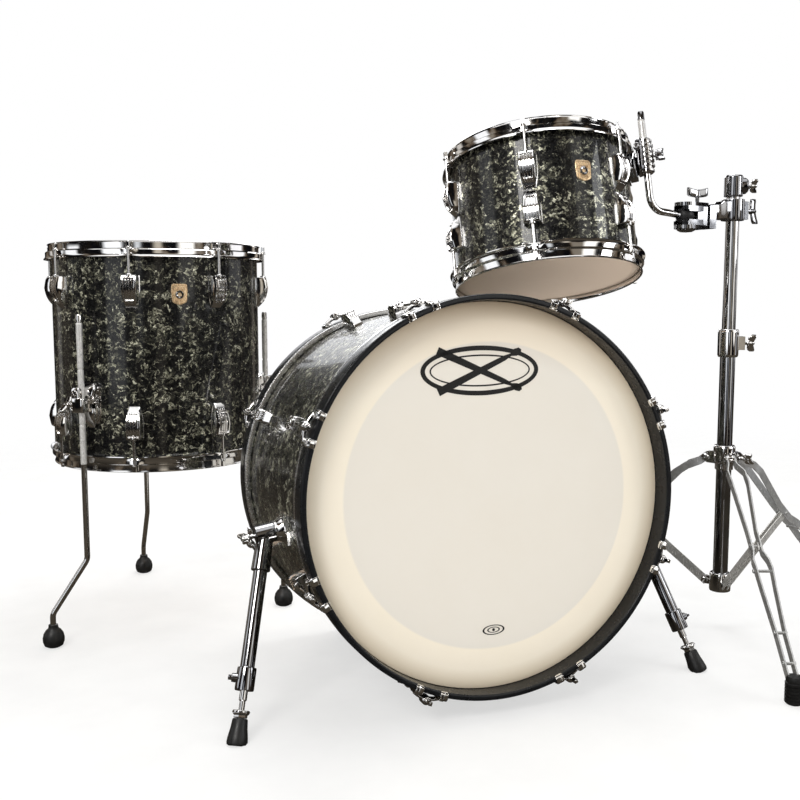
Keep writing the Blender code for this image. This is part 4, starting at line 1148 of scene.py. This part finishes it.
def floor_bracket(number, stem):
    """A leg bracket: base plate, upper jaw, lower tongue, and the eye block with its bolt."""
    place = shifted(-0.5815, 0.2679, LEG_BRACKET) @ turned(math.radians(stem))
    shape = Shape()
    base = place @ shifted(FLOOR_RADIUS, 0, 0) @ FACING_X
    shape.prism(oblong(0.072, 0.052, 0.012), -0.0022, 0.0030, base @ shifted(0, 0.004, 0))
    jaw(shape, place, (
        (
            0.012, 0.004, 0.030, 0.001, 0.012,
        ), (0.018, 0.005, 0.036, 0.001, 0.017), (0.030, 0.007, 0.038, 0.001, 0.016),
        (0.037, 0.008, 0.030, 0.001, 0.012), (0.041, 0.009, 0.018, 0.001, 0.006),
    ))
    jaw(shape, place, (
        (
            -0.006, 0.008, 0.030, 0.001, 0.014,
        ), (-0.014, 0.009, 0.030, 0.001, 0.016), (-0.028, 0.009, 0.025, 0.001, 0.013),
        (-0.038, 0.009, 0.018, 0.001, 0.008), (-0.043, 0.009, 0.010, 0.001, 0.005),
    ))
    for height in (0.0045, 0.0090):
        shape.lathe(
            softened([(0, -0.024), (0.0026, -0.024), (0.0026, 0.024), (0, 0.024)], 0.0006, closed=False), 16,
            place @ shifted(
                FLOOR_RADIUS + 0.010, 0.008, height,
            ) @ FACING_FRONT, closed=False,
        )
    eye = []
    for height, grow in ((-0.0125, 0.0), (-0.0110, 0.0010), (0.0120, 0.0010), (0.0135, 0.0)):
        outline = oblong(0.0265 + grow, 0.0280 + grow, 0.0050, 4)
        eye.append([Vector((LEG_CIRCLE + 0.0005 + u, v, height)) for u, v in outline])
    shape.rings(eye, place)
    cap = []
    for height, grow in ((0.0130, 0.0), (0.0150, 0.0020), (0.0300, 0.0010), (0.0335, -0.0030)):
        outline = oblong(0.0150 + grow, 0.0180 + grow, 0.0040, 4)
        cap.append([Vector((LEG_CIRCLE + 0.0040 + u, -0.0055 + v, height)) for u, v in outline])
    shape.rings(cap, place)
    bolt = place @ shifted(LEG_CIRCLE + 0.010, -0.0055, 0.0230) @ FACING_X
    shape.lathe(
        [
            (0, 0), (0.0062, 0), (0.0062, 0.0030), (0.0050, 0.0042), (0.0034, 0.0042), (0.0028, 0.0024),
            (0, 0.0024),
        ],
        28, bolt, closed=False,
    )
    across = place @ FACING_FRONT
    seat = [(0, 0.0120), (0.0090, 0.0120), (0.0090, 0.0190), (0.0076, 0.0218), (0, 0.0218)]
    shape.lathe(softened(seat, 0.001, closed=False), 28, across @ shifted(LEG_CIRCLE, 0, 0), closed=False)
    for x, y in ((-0.030, 0.024), (0.031, -0.012)):
        shape.lathe(
            [(0, 0.002), (0.0044, 0.002), (0.0044, 0.0050), (0.0030, 0.0066), (0, 0.0070)], 20,
            base @ shifted(x, y, 0), closed=False,
        )
    piece(f"floor_bracket_{number}", mesh_of("floor_bracket", shape, CHROME), "floor_tom", IDENTITY, 0.0006)


def floor_leg(number, stem, heading, reach):
    centre = Vector((-0.5815, 0.2679, 0)) + polar(LEG_CIRCLE, math.radians(stem))
    foot = centre + polar(reach, math.radians(heading))
    corners = [
        centre + Vector((0, 0, 0.352)),
        centre + Vector((0, 0, LEG_BEND)),
        foot + Vector((0, 0, 0.062)),
        foot + Vector((0, 0, 0.030)),
    ]
    shape = Shape()
    shape.sweep(rounded_path(corners, 0.024), circle(0.0053, 24))
    piece(
        f"floor_leg_{number}_bar", mesh_of("floor_leg", shape, CHROME), f"floor_leg_{number}", IDENTITY,
        0.0, (f"floor_leg_{number}",),
    )
    grip = Shape()
    facets = 36
    for lowest, highest in ((0.345, 0.419), (0.421, 0.522), (0.5245, 0.609)):
        rows = round((highest - lowest) / 0.0018)
        rings = []
        for row in range(rows + 1):
            height = lowest + (highest - lowest) * row / rows
            ring = []
            for step in range(facets):
                tooth = 0.00014 if (step + row) % 2 else -0.00008
                radius = 0.0052 if row in (0, rows) else 0.0057 + tooth
                ring.append(polar(radius, 2 * math.pi * step / facets, height))
            rings.append(ring)
        grip.rings(rings, Matrix.Translation(centre))
    grip.rod(centre + Vector((0, 0, 0.346)), centre + Vector((0, 0, 0.608)), 0.0047, 24)
    piece(f"floor_leg_{number}_knurl", mesh_of("floor_leg_knurl", grip, KNURL), f"floor_leg_{number}")
    top = Shape()
    profile = [
        (0, -0.002), (0.0046, -0.002), (0.0046, 0.0015), (0.0056, 0.0025), (0.0056, 0.012),
        (0.0044, 0.0155), (0, 0.016),
    ]
    top.lathe(profile, 28, Matrix.Translation(centre + Vector((0, 0, LEG_TOP - 0.016))), closed=False)
    piece(f"floor_leg_{number}_end", mesh_of("floor_leg_end", top, CHROME), f"floor_leg_{number}")
    rubber = Shape()
    profile = [
        (0, 0), (0.0120, 0), (0.0170, 0.0030), (0.0195, 0.0100), (0.0198, 0.0170), (0.0180, 0.0250),
        (0.0140, 0.0315),
    ]
    profile += [(0.0098, 0.0350), (0.0088, 0.0385), (0.0086, 0.0420), (0.0070, 0.0424), (0, 0.0424)]
    rubber.lathe(profile, 40, Matrix.Translation(foot), closed=False)
    piece(
        f"floor_leg_{number}_foot", mesh_of("floor_leg_foot", rubber, RUBBER), f"floor_leg_{number}",
        IDENTITY, 0.0, (f"floor_foot_{number}",),
    )


def rack_mount():
    """The rack tom's bracket: plate, body, hinged block, and the ribbed jaw round the stem."""
    place = RACK_FRAME @ turned(STEM_ANGLE) @ shifted(0, 0, MOUNT_HEIGHT)
    base = place @ shifted(RACK_RADIUS, 0, -0.021) @ FACING_X
    shape = Shape()
    plate = [
        (-0.026, -0.030), (-0.026, 0.006), (-0.008, 0.022), (0.014, 0.022), (0.028, 0.006), (0.028, -0.030),
        (0.014, -0.048), (-0.008, -0.048),
    ]
    flat = [bent(RACK_RADIUS, y, -0.021 - x, 0.0004) for x, y in plate]
    low_plate = [bent(RACK_RADIUS, y, -0.021 - x, 0.0032) for x, y in plate]
    shape.rings([flat, low_plate], place)
    steps = ((0.84, 0.0026), (0.84, 0.0062), (0.80, 0.0068))
    shape.rings(
        [
            [bent(RACK_RADIUS, (y + 0.013) * k - 0.013, -0.021 - x * k, lift) for x, y in plate]
            for k, lift in steps
        ],
        place,
    )
    rings = []
    for lift, shrink in ((0.0060, 0.70), (0.0105, 0.72), (0.0150, 0.66), (0.0165, 0.58)):
        rings.append(
            [bent(RACK_RADIUS, (y + 0.013) * shrink - 0.013, -0.021 - x * 0.86, lift) for x, y in plate]
        )
    shape.rings(rings, place)
    rings = []
    for reach, tall, wide in (
        (0.1815, 0.058, 0.042), (0.1840, 0.064, 0.048), (0.1890, 0.064, 0.046), (0.1920, 0.058, 0.038),
    ):
        rings.append([Vector((reach, v - 0.008, u - 0.002)) for u, v in oblong(tall, wide, 0.009, 4)])
    shape.rings(rings, place)
    for side in (-1, 1):
        hinge = place @ shifted(
            0.1840, -0.0080 + side * 0.0250, 0.0100,
        ) @ Matrix.Rotation(-side * math.pi / 2, 4, "X")
        shape.lathe(
            [
                (0, -0.004), (0.0066, -0.004), (0.0066, 0.0024), (0.0052, 0.0040), (0.0030, 0.0040),
                (0.0024, 0.0024), (0, 0.0024),
            ],
            24, hinge, closed=False,
        )
        shape.lathe(
            [(0, 0), (0.0042, 0), (0.0042, 0.002), (0.003, 0.0032), (0, 0.0035)], 20,
            base @ shifted(0.004, -0.013 + side * 0.0300, 0.0030), closed=False,
        )
    piece(
        "tom_mount_body", mesh_of("tom_mount_body", shape, DARK_CHROME), "rack_tom", IDENTITY, 0.0007,
        ("tom_mount",),
    )
    jaw_shape = Shape()
    rows = 7
    tall = 0.066
    section = []
    for row in range(rows):
        low = -tall / 2 + tall * row / rows
        step = tall / rows
        inset = 0.0016 if row in (0, rows - 1) else 0.0
        section += [
            (0.0124 - inset, low), (0.0156 - inset, low + step * 0.26), (0.0156 - inset, low + step * 0.66),
            (0.0124 - inset, low + step * 0.96),
        ]
    profile = [(0.0067, -tall / 2)] + section + [(0.0067, tall / 2)]
    jaw_shape.lathe(profile, 40, place @ shifted(STEM_RADIUS, 0, 0))
    piece("tom_mount_jaw", mesh_of("tom_mount_jaw", jaw_shape, CHROME), "rack_tom", IDENTITY, 0.0003)


# ---------------------------------------------------------------- arm, clamp and stand


def arm_and_ball():
    stem = [RACK_FRAME @ polar(STEM_RADIUS, STEM_ANGLE, height) for height in (STEM_TOP, STEM_BOTTOM)]
    way = (BALL - stem[1]).normalized()
    shape = Shape()
    path = rounded_path(
        [stem[0] - (stem[0] - stem[1]).normalized() * 0.075, stem[1], BALL + way * 0.019], 0.026, 10,
    )
    shape.sweep(path, circle(ARM_RADIUS, 28))
    piece("tom_arm_bar", mesh_of("tom_arm_bar", shape, CHROME), "tom_arm", IDENTITY, 0.0005, ("tom_arm",))
    up = (stem[0] - stem[1]).normalized()
    grip = Shape()
    rings = []
    rows, facets = 40, 36
    for row in range(rows + 1):
        height = -0.085 + 0.068 * row / rows
        ring = []
        for step in range(facets):
            tooth = 0.00018 if (step + row) % 2 else -0.00012
            radius = ARM_RADIUS - 0.0006 if row in (0, rows) else ARM_RADIUS + tooth
            ring.append(polar(radius, 2 * math.pi * step / facets, height))
        rings.append(ring)
    top = Matrix.Translation(stem[0]) @ aimed(up)
    grip.rings(rings, top)
    piece("tom_arm_knurl", mesh_of("tom_arm_knurl", grip, KNURL), "tom_arm")
    end = Shape()
    end.lathe(
        [
            (0, -0.019), (0.0056, -0.019), (0.0056, -0.017), (0.0064, -0.016), (0.0064, -0.003),
            (0.0054, -0.0005), (0, 0),
        ],
        28, top, closed=False,
    )
    piece("tom_arm_end", mesh_of("tom_arm_end", end, DARK_CHROME), "tom_arm")
    ball = Shape()
    profile = [(0.0068, -0.01558)]
    for step in range(17):
        angle = math.asin(-0.01558 / 0.017) + 2 * math.asin(0.01558 / 0.017) * step / 16
        profile.append((0.017 * math.cos(angle), 0.017 * math.sin(angle)))
    profile.append((0.0068, 0.01558))
    ball.lathe(profile, 40, Matrix.Translation(BALL) @ aimed(way))
    piece(
        "clamp_ball_nylon", mesh_of("clamp_ball_nylon", ball, NYLON), "clamp_ball", IDENTITY, 0.0,
        ("clamp_ball",),
    )


def tom_clamp():
    """Split ring on the tube, a waist block, and two thick jaws round the ball; +X runs towards the ball."""
    shape = Shape()
    ring = softened([(0.0130, -0.020), (0.0215, -0.020), (0.0215, 0.020), (0.0130, 0.020)], 0.0015)
    shape.lathe(ring, 40, CLAMP)
    x = BALL_OFFSET
    drop = BALL.z - CLAMP_HEIGHT
    top, bottom = drop + 0.0176, drop - 0.0176
    rings = []
    for reach, wide, low, high in (
        (0.018, 0.026, -0.019, 0.017), (0.034, 0.026, -0.019, 0.015), (0.040, 0.022, -0.020, 0.010),
        (x - 0.060, 0.022, -0.022, 0.008),
    ):
        middle = (low + high) / 2
        rings.append([Vector((reach, u, middle + v)) for u, v in oblong(wide, high - low, 0.003, 3)])
    shape.rings(rings, CLAMP)
    shape.block((x - 0.0640, -0.0160, bottom - 0.0050), (x - 0.0480, 0.0160, top + 0.0020), CLAMP)
    shape.block((x - 0.0500, -0.0125, bottom - 0.0010), (x - 0.0210, 0.0125, top + 0.0010), CLAMP)
    for low, high in ((top - 0.0005, top + 0.0066), (bottom - 0.0066, bottom + 0.0005)):
        outline = [(x - 0.044, -0.0150), (x - 0.010, -0.0190)]
        for step in range(13):
            angle = -math.pi / 2 + math.pi * step / 12
            outline.append((x + 0.0190 * math.cos(angle), 0.0195 * math.sin(angle)))
        outline += [(x - 0.010, 0.0190), (x - 0.044, 0.0150)]
        shape.prism(outline, low, high, CLAMP)
    for side in (-1, 1):
        for low, high in ((drop + 0.0075, top), (bottom, drop - 0.0075)):
            cheek = [
                (x - 0.030, side * 0.0172), (x - 0.004, side * 0.0186), (x + 0.006, side * 0.0182),
                (x + 0.006, side * 0.0160), (x - 0.030, side * 0.0140),
            ]
            shape.prism(cheek, low, high, CLAMP)
        for low, high in ((top - 0.0075, top), (bottom, bottom + 0.0075)):
            lip = [
                (x + 0.0060, side * 0.0120), (x + 0.0110, side * 0.0095), (x + 0.0165, side * 0.0110),
                (x + 0.0090, side * 0.0186), (x, side * 0.0190),
            ]
            shape.prism(lip, low, high, CLAMP)
    dome = [(0, 0.0), (0.0180, 0.0), (0.0165, 0.0030), (0.0110, 0.0060), (0, 0.0070)]
    shape.lathe(
        dome, 36, CLAMP @ shifted(x - 0.004, 0, bottom - 0.0062) @ Matrix.Rotation(math.pi, 4, "X"),
        closed=False,
    )
    shape.lathe(
        softened([(0, 0.004), (0.0080, 0.004), (0.0072, 0.0070), (0, 0.0070)], 0.0006, closed=False), 24,
        CLAMP @ shifted(x - 0.030, 0, top), closed=False,
    )
    for side in (-1, 1):
        shape.block(
            (-0.0310, side * 0.0065 - 0.0038, -0.0170), (-0.0160, side * 0.0065 + 0.0038, 0.0170), CLAMP,
        )
    piece(
        "tom_clamp_body", mesh_of("tom_clamp_body", shape, DARK_CHROME), "clamp", IDENTITY, 0.0010,
        ("tom_clamp",), 3,
    )


def strap(shape, path, low, high, width, place):
    """A flat strap along a path in XZ between two Y values."""
    ways = [(after - before).normalized() for before, after in zip(path, path[1:])]
    ways = [ways[0]] + [(one + two).normalized() for one, two in zip(ways, ways[1:])] + [ways[-1]]
    rings = []
    for point, way in zip(path, ways):
        normal = Vector((way.z, 0, -way.x)).normalized() * (width / 2)
        ring = []
        for offset, side in ((-normal, low), (normal, low), (normal, high), (-normal, high)):
            ring.append(Vector((point.x, point.y + side, point.z)) + offset)
        rings.append(ring)
    shape.rings(rings, place)


def rivet(shape, centre, half, place, radius=0.0042):
    turn = place @ Matrix.Translation(centre) @ FACING_FRONT
    profile = [
        (0.0018, -half), (0.0018, -half - 0.0012), (radius * 0.8, -half - 0.0016), (radius, -half),
        (0.0026, -half + 0.0002),
    ]
    profile += [
        (0.0026, half - 0.0002), (radius, half), (radius * 0.8, half + 0.0016), (0.0018, half + 0.0012),
        (0.0018, half),
    ]
    shape.lathe(profile, 24, turn)


# Each station: share of the leg, how far it bends upward there, and how far each strap stands to its side.
LEG_LINE = (
    (0.00, 0.000, 0.0072), (0.03, 0.001, 0.0076), (0.08, 0.009, 0.0160), (0.14, 0.012, 0.0155),
    (0.36, 0.003, 0.0082), (0.46, 0.003, 0.0082), (0.50, 0.006, 0.0135), (0.54, 0.009, 0.0140),
    (0.62, 0.006, 0.0120), (0.80, 0.002, 0.0078), (1.00, 0.000, 0.0072),
)


def tripod():
    base = Shape()
    base.lathe(
        softened([(0.0128, 0.0755), (0.0143, 0.0755), (0.0143, 0.592), (0.0128, 0.592)], 0.0005), 48, STAND,
    )
    piece(
        "stand_base_bar", mesh_of("stand_base_bar", base, DARK_CHROME), "stand_base",
        replaces=("stand_base_tube",),
    )
    low = Shape()
    low.lathe(
        softened(
            [
                (0.0142, 0.074), (0.0200, 0.074), (0.0205, 0.078), (0.0205, 0.106), (0.0195, 0.110),
                (0.0142, 0.110),
            ],
            0.001,
        ),
        48, STAND,
    )
    collar = [
        (0.0142, 0.539), (0.0178, 0.539), (0.0195, 0.543), (0.0195, 0.588), (0.0182, 0.593),
        (0.0142, 0.593),
    ]
    for heading in LEG_HEADINGS:
        place = STAND @ turned(math.radians(heading))
        for side in (-1, 1):
            outline = [
                (0.016, 0.084), (0.030, 0.084), (0.0345, 0.088), (0.036, 0.092), (0.0345, 0.097),
                (0.030, 0.101), (0.016, 0.101),
            ]
            rings = [[Vector((x, side * y, z)) for x, z in outline] for y in (0.0016, 0.0031)]
            low.rings(rings, place)
        rivet(low, BRACE_PIVOT, 0.0066, place, 0.0060)
    piece("stand_lower_hub", mesh_of("stand_lower_hub", low, CHROME), "stand_base", IDENTITY, 0.0005)
    sleeve = Shape()
    sleeve.lathe(softened(collar, 0.0012), 48, STAND)
    out = STAND @ turned(WING_HEADING)
    sleeve.block((0.017, -0.0095, 0.553), (0.0298, 0.0095, 0.579), out)
    sleeve.lathe(
        softened([(0, 0.017), (0.0085, 0.017), (0.0085, 0.0298), (0, 0.0298)], 0.0008, closed=False),
        28, out @ shifted(0, 0, COLLAR_SCREW_HEIGHT) @ FACING_X, closed=False,
    )
    piece("stand_collar", mesh_of("stand_collar", sleeve, CHROME), "stand_base", IDENTITY, 0.0008)
    hub = Shape()
    sleeve = [
        (0.0147, 0.318), (0.0168, 0.318), (0.0172, 0.320), (0.0172, 0.331), (0.0200, 0.333),
        (0.0205, 0.335), (0.0205, 0.362), (0.0190, 0.366), (0.0147, 0.366),
    ]
    hub.lathe(softened(sleeve, 0.0008), 48, STAND)
    for heading in LEG_HEADINGS:
        place = STAND @ turned(math.radians(heading))
        outline = [
            (0.016, 0.329), (0.032, 0.330), (0.039, 0.335), (0.0412, 0.341), (0.039, 0.347), (0.032, 0.352),
            (0.016, 0.353),
        ]
        for side in (-1, 1):
            rings = [[Vector((x, side * y, z)) for x, z in outline] for y in (0.0026, 0.0056)]
            hub.rings(rings, place)
        rivet(hub, HUB_PIVOT, 0.0100, place, 0.0072)
    side_way = STAND @ turned(math.radians(-50))
    hub.block((0.018, -0.0085, 0.332), (0.0298, 0.0085, 0.352), side_way)
    piece(
        "stand_leg_hub", mesh_of("stand_leg_hub", hub, CHROME), "stand_hub", IDENTITY, 0.0006,
        ("stand_hub",),
    )
    upper = Shape()
    upper.lathe(
        softened([(0.0112, 0.380), (0.0127, 0.380), (0.0127, 0.846), (0.0112, 0.846)], 0.0004), 48, STAND,
    )
    piece(
        "stand_upper_bar", mesh_of("stand_upper_bar", upper, DIMMED_TUBE_CHROME), "stand_upper",
        replaces=("stand_upper_tube",),
    )
    cap = Shape()
    cap.lathe(
        softened(
            [(0, 0.8455), (0.0172, 0.8455), (0.0175, 0.848), (0.0175, 0.882), (0.0155, 0.8855), (0, 0.886)],
            0.001, closed=False,
        ),
        48, STAND, closed=False,
    )
    knob = out @ shifted(0, 0, CAP_SCREW_HEIGHT) @ FACING_X
    cap.lathe(
        softened(
            [(0, 0.010), (0.0160, 0.010), (0.0152, 0.0225), (0.0120, 0.0262), (0, 0.0266)], 0.0012,
            closed=False,
        ),
        36, knob, closed=False,
    )
    piece("stand_cap", mesh_of("stand_cap", cap, DARK_CHROME), "stand_upper", IDENTITY, 0.0006)
    reach = TRIPOD_FOOT - HUB_PIVOT
    way = reach.normalized()
    for number, heading in enumerate(LEG_HEADINGS, 1):
        place = STAND @ turned(math.radians(heading))
        leg = Shape()
        normal = Vector((-way.z, 0, way.x))
        for side in (-1, 1):
            path = [
                HUB_PIVOT + reach * share + normal * off + Vector((0, side * spread, 0))
                for share, off, spread in LEG_LINE
            ]
            path[0] -= way * 0.006
            path[-1] += way * 0.004
            strap(leg, path, -0.0014, 0.0014, 0.0150, place)
        meet = HUB_PIVOT + way * BRACE_POINT
        rivet(leg, meet + normal * 0.003, 0.0100, place, 0.0050)
        for share, half in ((0.54, 0.0158), (0.80, 0.0096), (0.92, 0.0092)):
            rivet(leg, HUB_PIVOT + reach * share + normal * 0.003, half, place)
        piece(
            f"stand_leg_{number}_straps", mesh_of("stand_leg", leg, STRAP), f"stand_leg_{number}", IDENTITY,
            0.0005, (f"stand_leg_{number}",),
        )
        foot = Shape()
        lean = place @ shifted(TRIPOD_FOOT.x, 0, 0)
        profile = [(0, 0.0), (0.0120, 0.0)]
        for row in range(6):
            height = 0.003 + 0.0058 * row
            profile += [
                (0.0148, height), (0.0150, height + 0.0036), (0.0134, height + 0.0042),
                (0.0134, height + 0.0054),
            ]
        profile += [(0.0140, 0.0395), (0.0118, 0.0460), (0, 0.0460)]
        foot.lathe(profile, 36, lean, closed=False)
        piece(f"stand_foot_{number}", mesh_of("stand_foot", foot, RUBBER), f"stand_leg_{number}")
        brace = Shape()
        start = BRACE_PIVOT
        end = HUB_PIVOT + way * BRACE_POINT
        run = (end - start).normalized()
        path = [start - run * 0.006, start + (end - start) * 0.5, end + run * 0.006]
        for low_side, high_side in ((-0.0055, -0.0034), (0.0034, 0.0055)):
            strap(brace, path, low_side, high_side, 0.0140, place)
        rivet(brace, end, 0.0040, place, 0.0046)
        piece(
            f"stand_brace_{number}_straps", mesh_of("stand_brace", brace, BRACE), f"stand_brace_{number}",
            IDENTITY, 0.0004, (f"stand_brace_{number}",),
        )


# ---------------------------------------------------------------- thumb screws

WINGS = {
    "spur_wing_left": (
        "spur_left_wing", (-0.49607, -0.27368, 0.27713), (-0.98685, -0.01015, -0.16134), 0.0240, 0.008,
        0.0065, 0.0080,
    ),
    "spur_wing_right": (
        "spur_right_wing", (0.20507, -0.27368, 0.27713), (0.98685, -0.01015, -0.16134), 0.0240, 0.008,
        0.0065, 0.0080,
    ),
    "floor_wing_1": (
        "floor_wing_1", (-0.75566, 0.12528, 0.456), (-0.70711, 0.70711, 0), 0.0190, 0.006, 0.0062, 0.0070,
    ),
    "floor_wing_2": (
        "floor_wing_2", (-0.35659, 0.25853, 0.456), (0.05756, -0.99834, 0), 0.0190, 0.006, 0.0062, 0.0070,
    ),
    "floor_wing_3": (
        "floor_wing_3", (-0.57213, 0.49281, 0.456), (0.99834, 0.05756, 0), 0.0190, 0.006, 0.0062, 0.0070,
    ),
    "collar_wing": (
        "collar_wing", (0.47457, -0.23506, COLLAR_SCREW_HEIGHT), (0.93969, -0.34202, 0),
        0.0170, 0.006, 0.0060, 0.0085,
    ),
    "cap_wing": (
        "cap_wing", (0.46283, -0.23079, CAP_SCREW_HEIGHT), (0.93969, -0.34202, 0),
        0.0130, 0.012, 0.0056, 0.0078,
    ),
    "hub_wing": (
        "hub_wing", (0.46558, -0.24791, 0.342), (0.64279, -0.76604, 0), 0.0170, 0.006, 0.0060, 0.0100,
    ),
    "clamp_top_wing": (
        "clamp_top_wing", (0.3542, -0.23777, 0.8296), (0, 0, 1), 0.0220, 0.010, 0.0062, 0.0100,
    ),
    "clamp_side_wing": (
        "clamp_side_wing", (0.4761, -0.22043, CLAMP_HEIGHT), (0.99003, 0.14085, 0),
        0.0240, 0.016, 0.0062, 0.0090,
    ),
    "tom_mount_wing": (
        "tom_mount_wing", (0.25168, -0.23778, 0.91092), (0.82436, -0.551, 0.12971), 0.0200, 0.006, 0.0095,
        0.0076,
    ),
}

# Screws whose lobes lie across the usual direction, and those with square lobes in darker chrome.
CROSS_WINGS = ("spur_wing_left", "spur_wing_right", "tom_mount_wing")
SQUARE_WINGS = ("clamp_top_wing", "clamp_side_wing", "tom_mount_wing")


def wings():
    for name, (body, spot, axis, half_span, shank, knob, lobe) in WINGS.items():
        mesh = wing_mesh(name, half_span, shank, knob, lobe, name in SQUARE_WINGS)
        quarter = turned(math.pi / 2) if name in CROSS_WINGS else IDENTITY
        piece(f"{name}_screw", mesh, body, shifted(*spot) @ aimed(axis) @ quarter, 0.0006, (name,))


bass_drum()
emblem()
for tag in SPURS:
    spur(tag)
tom(
    "floor_tom", "floor_tom", FLOOR, FLOOR_RADIUS, FLOOR_DEPTH, FLOOR_RODS,
    {"top": HEAD, "bottom": CLEAR_HEAD},
)
tom("rack_tom", "rack_tom", RACK, RACK_RADIUS, RACK_DEPTH, RACK_RODS, {"top": HEAD, "bottom": CLEAR_HEAD})
badge("floor_tom_badge", "floor_tom", FLOOR, FLOOR_RADIUS, math.radians(-84.5), 0.319, 0.031, 0.040)
badge("rack_tom_badge", "rack_tom", RACK, RACK_RADIUS, math.radians(-91.5), 0.142, 0.030, 0.038)
for number, (stem, heading, reach) in enumerate(LEG_PLACES, 1):
    floor_bracket(number, stem)
    floor_leg(number, stem, heading, reach)
rack_mount()
arm_and_ball()
tom_clamp()
tripod()
wings()
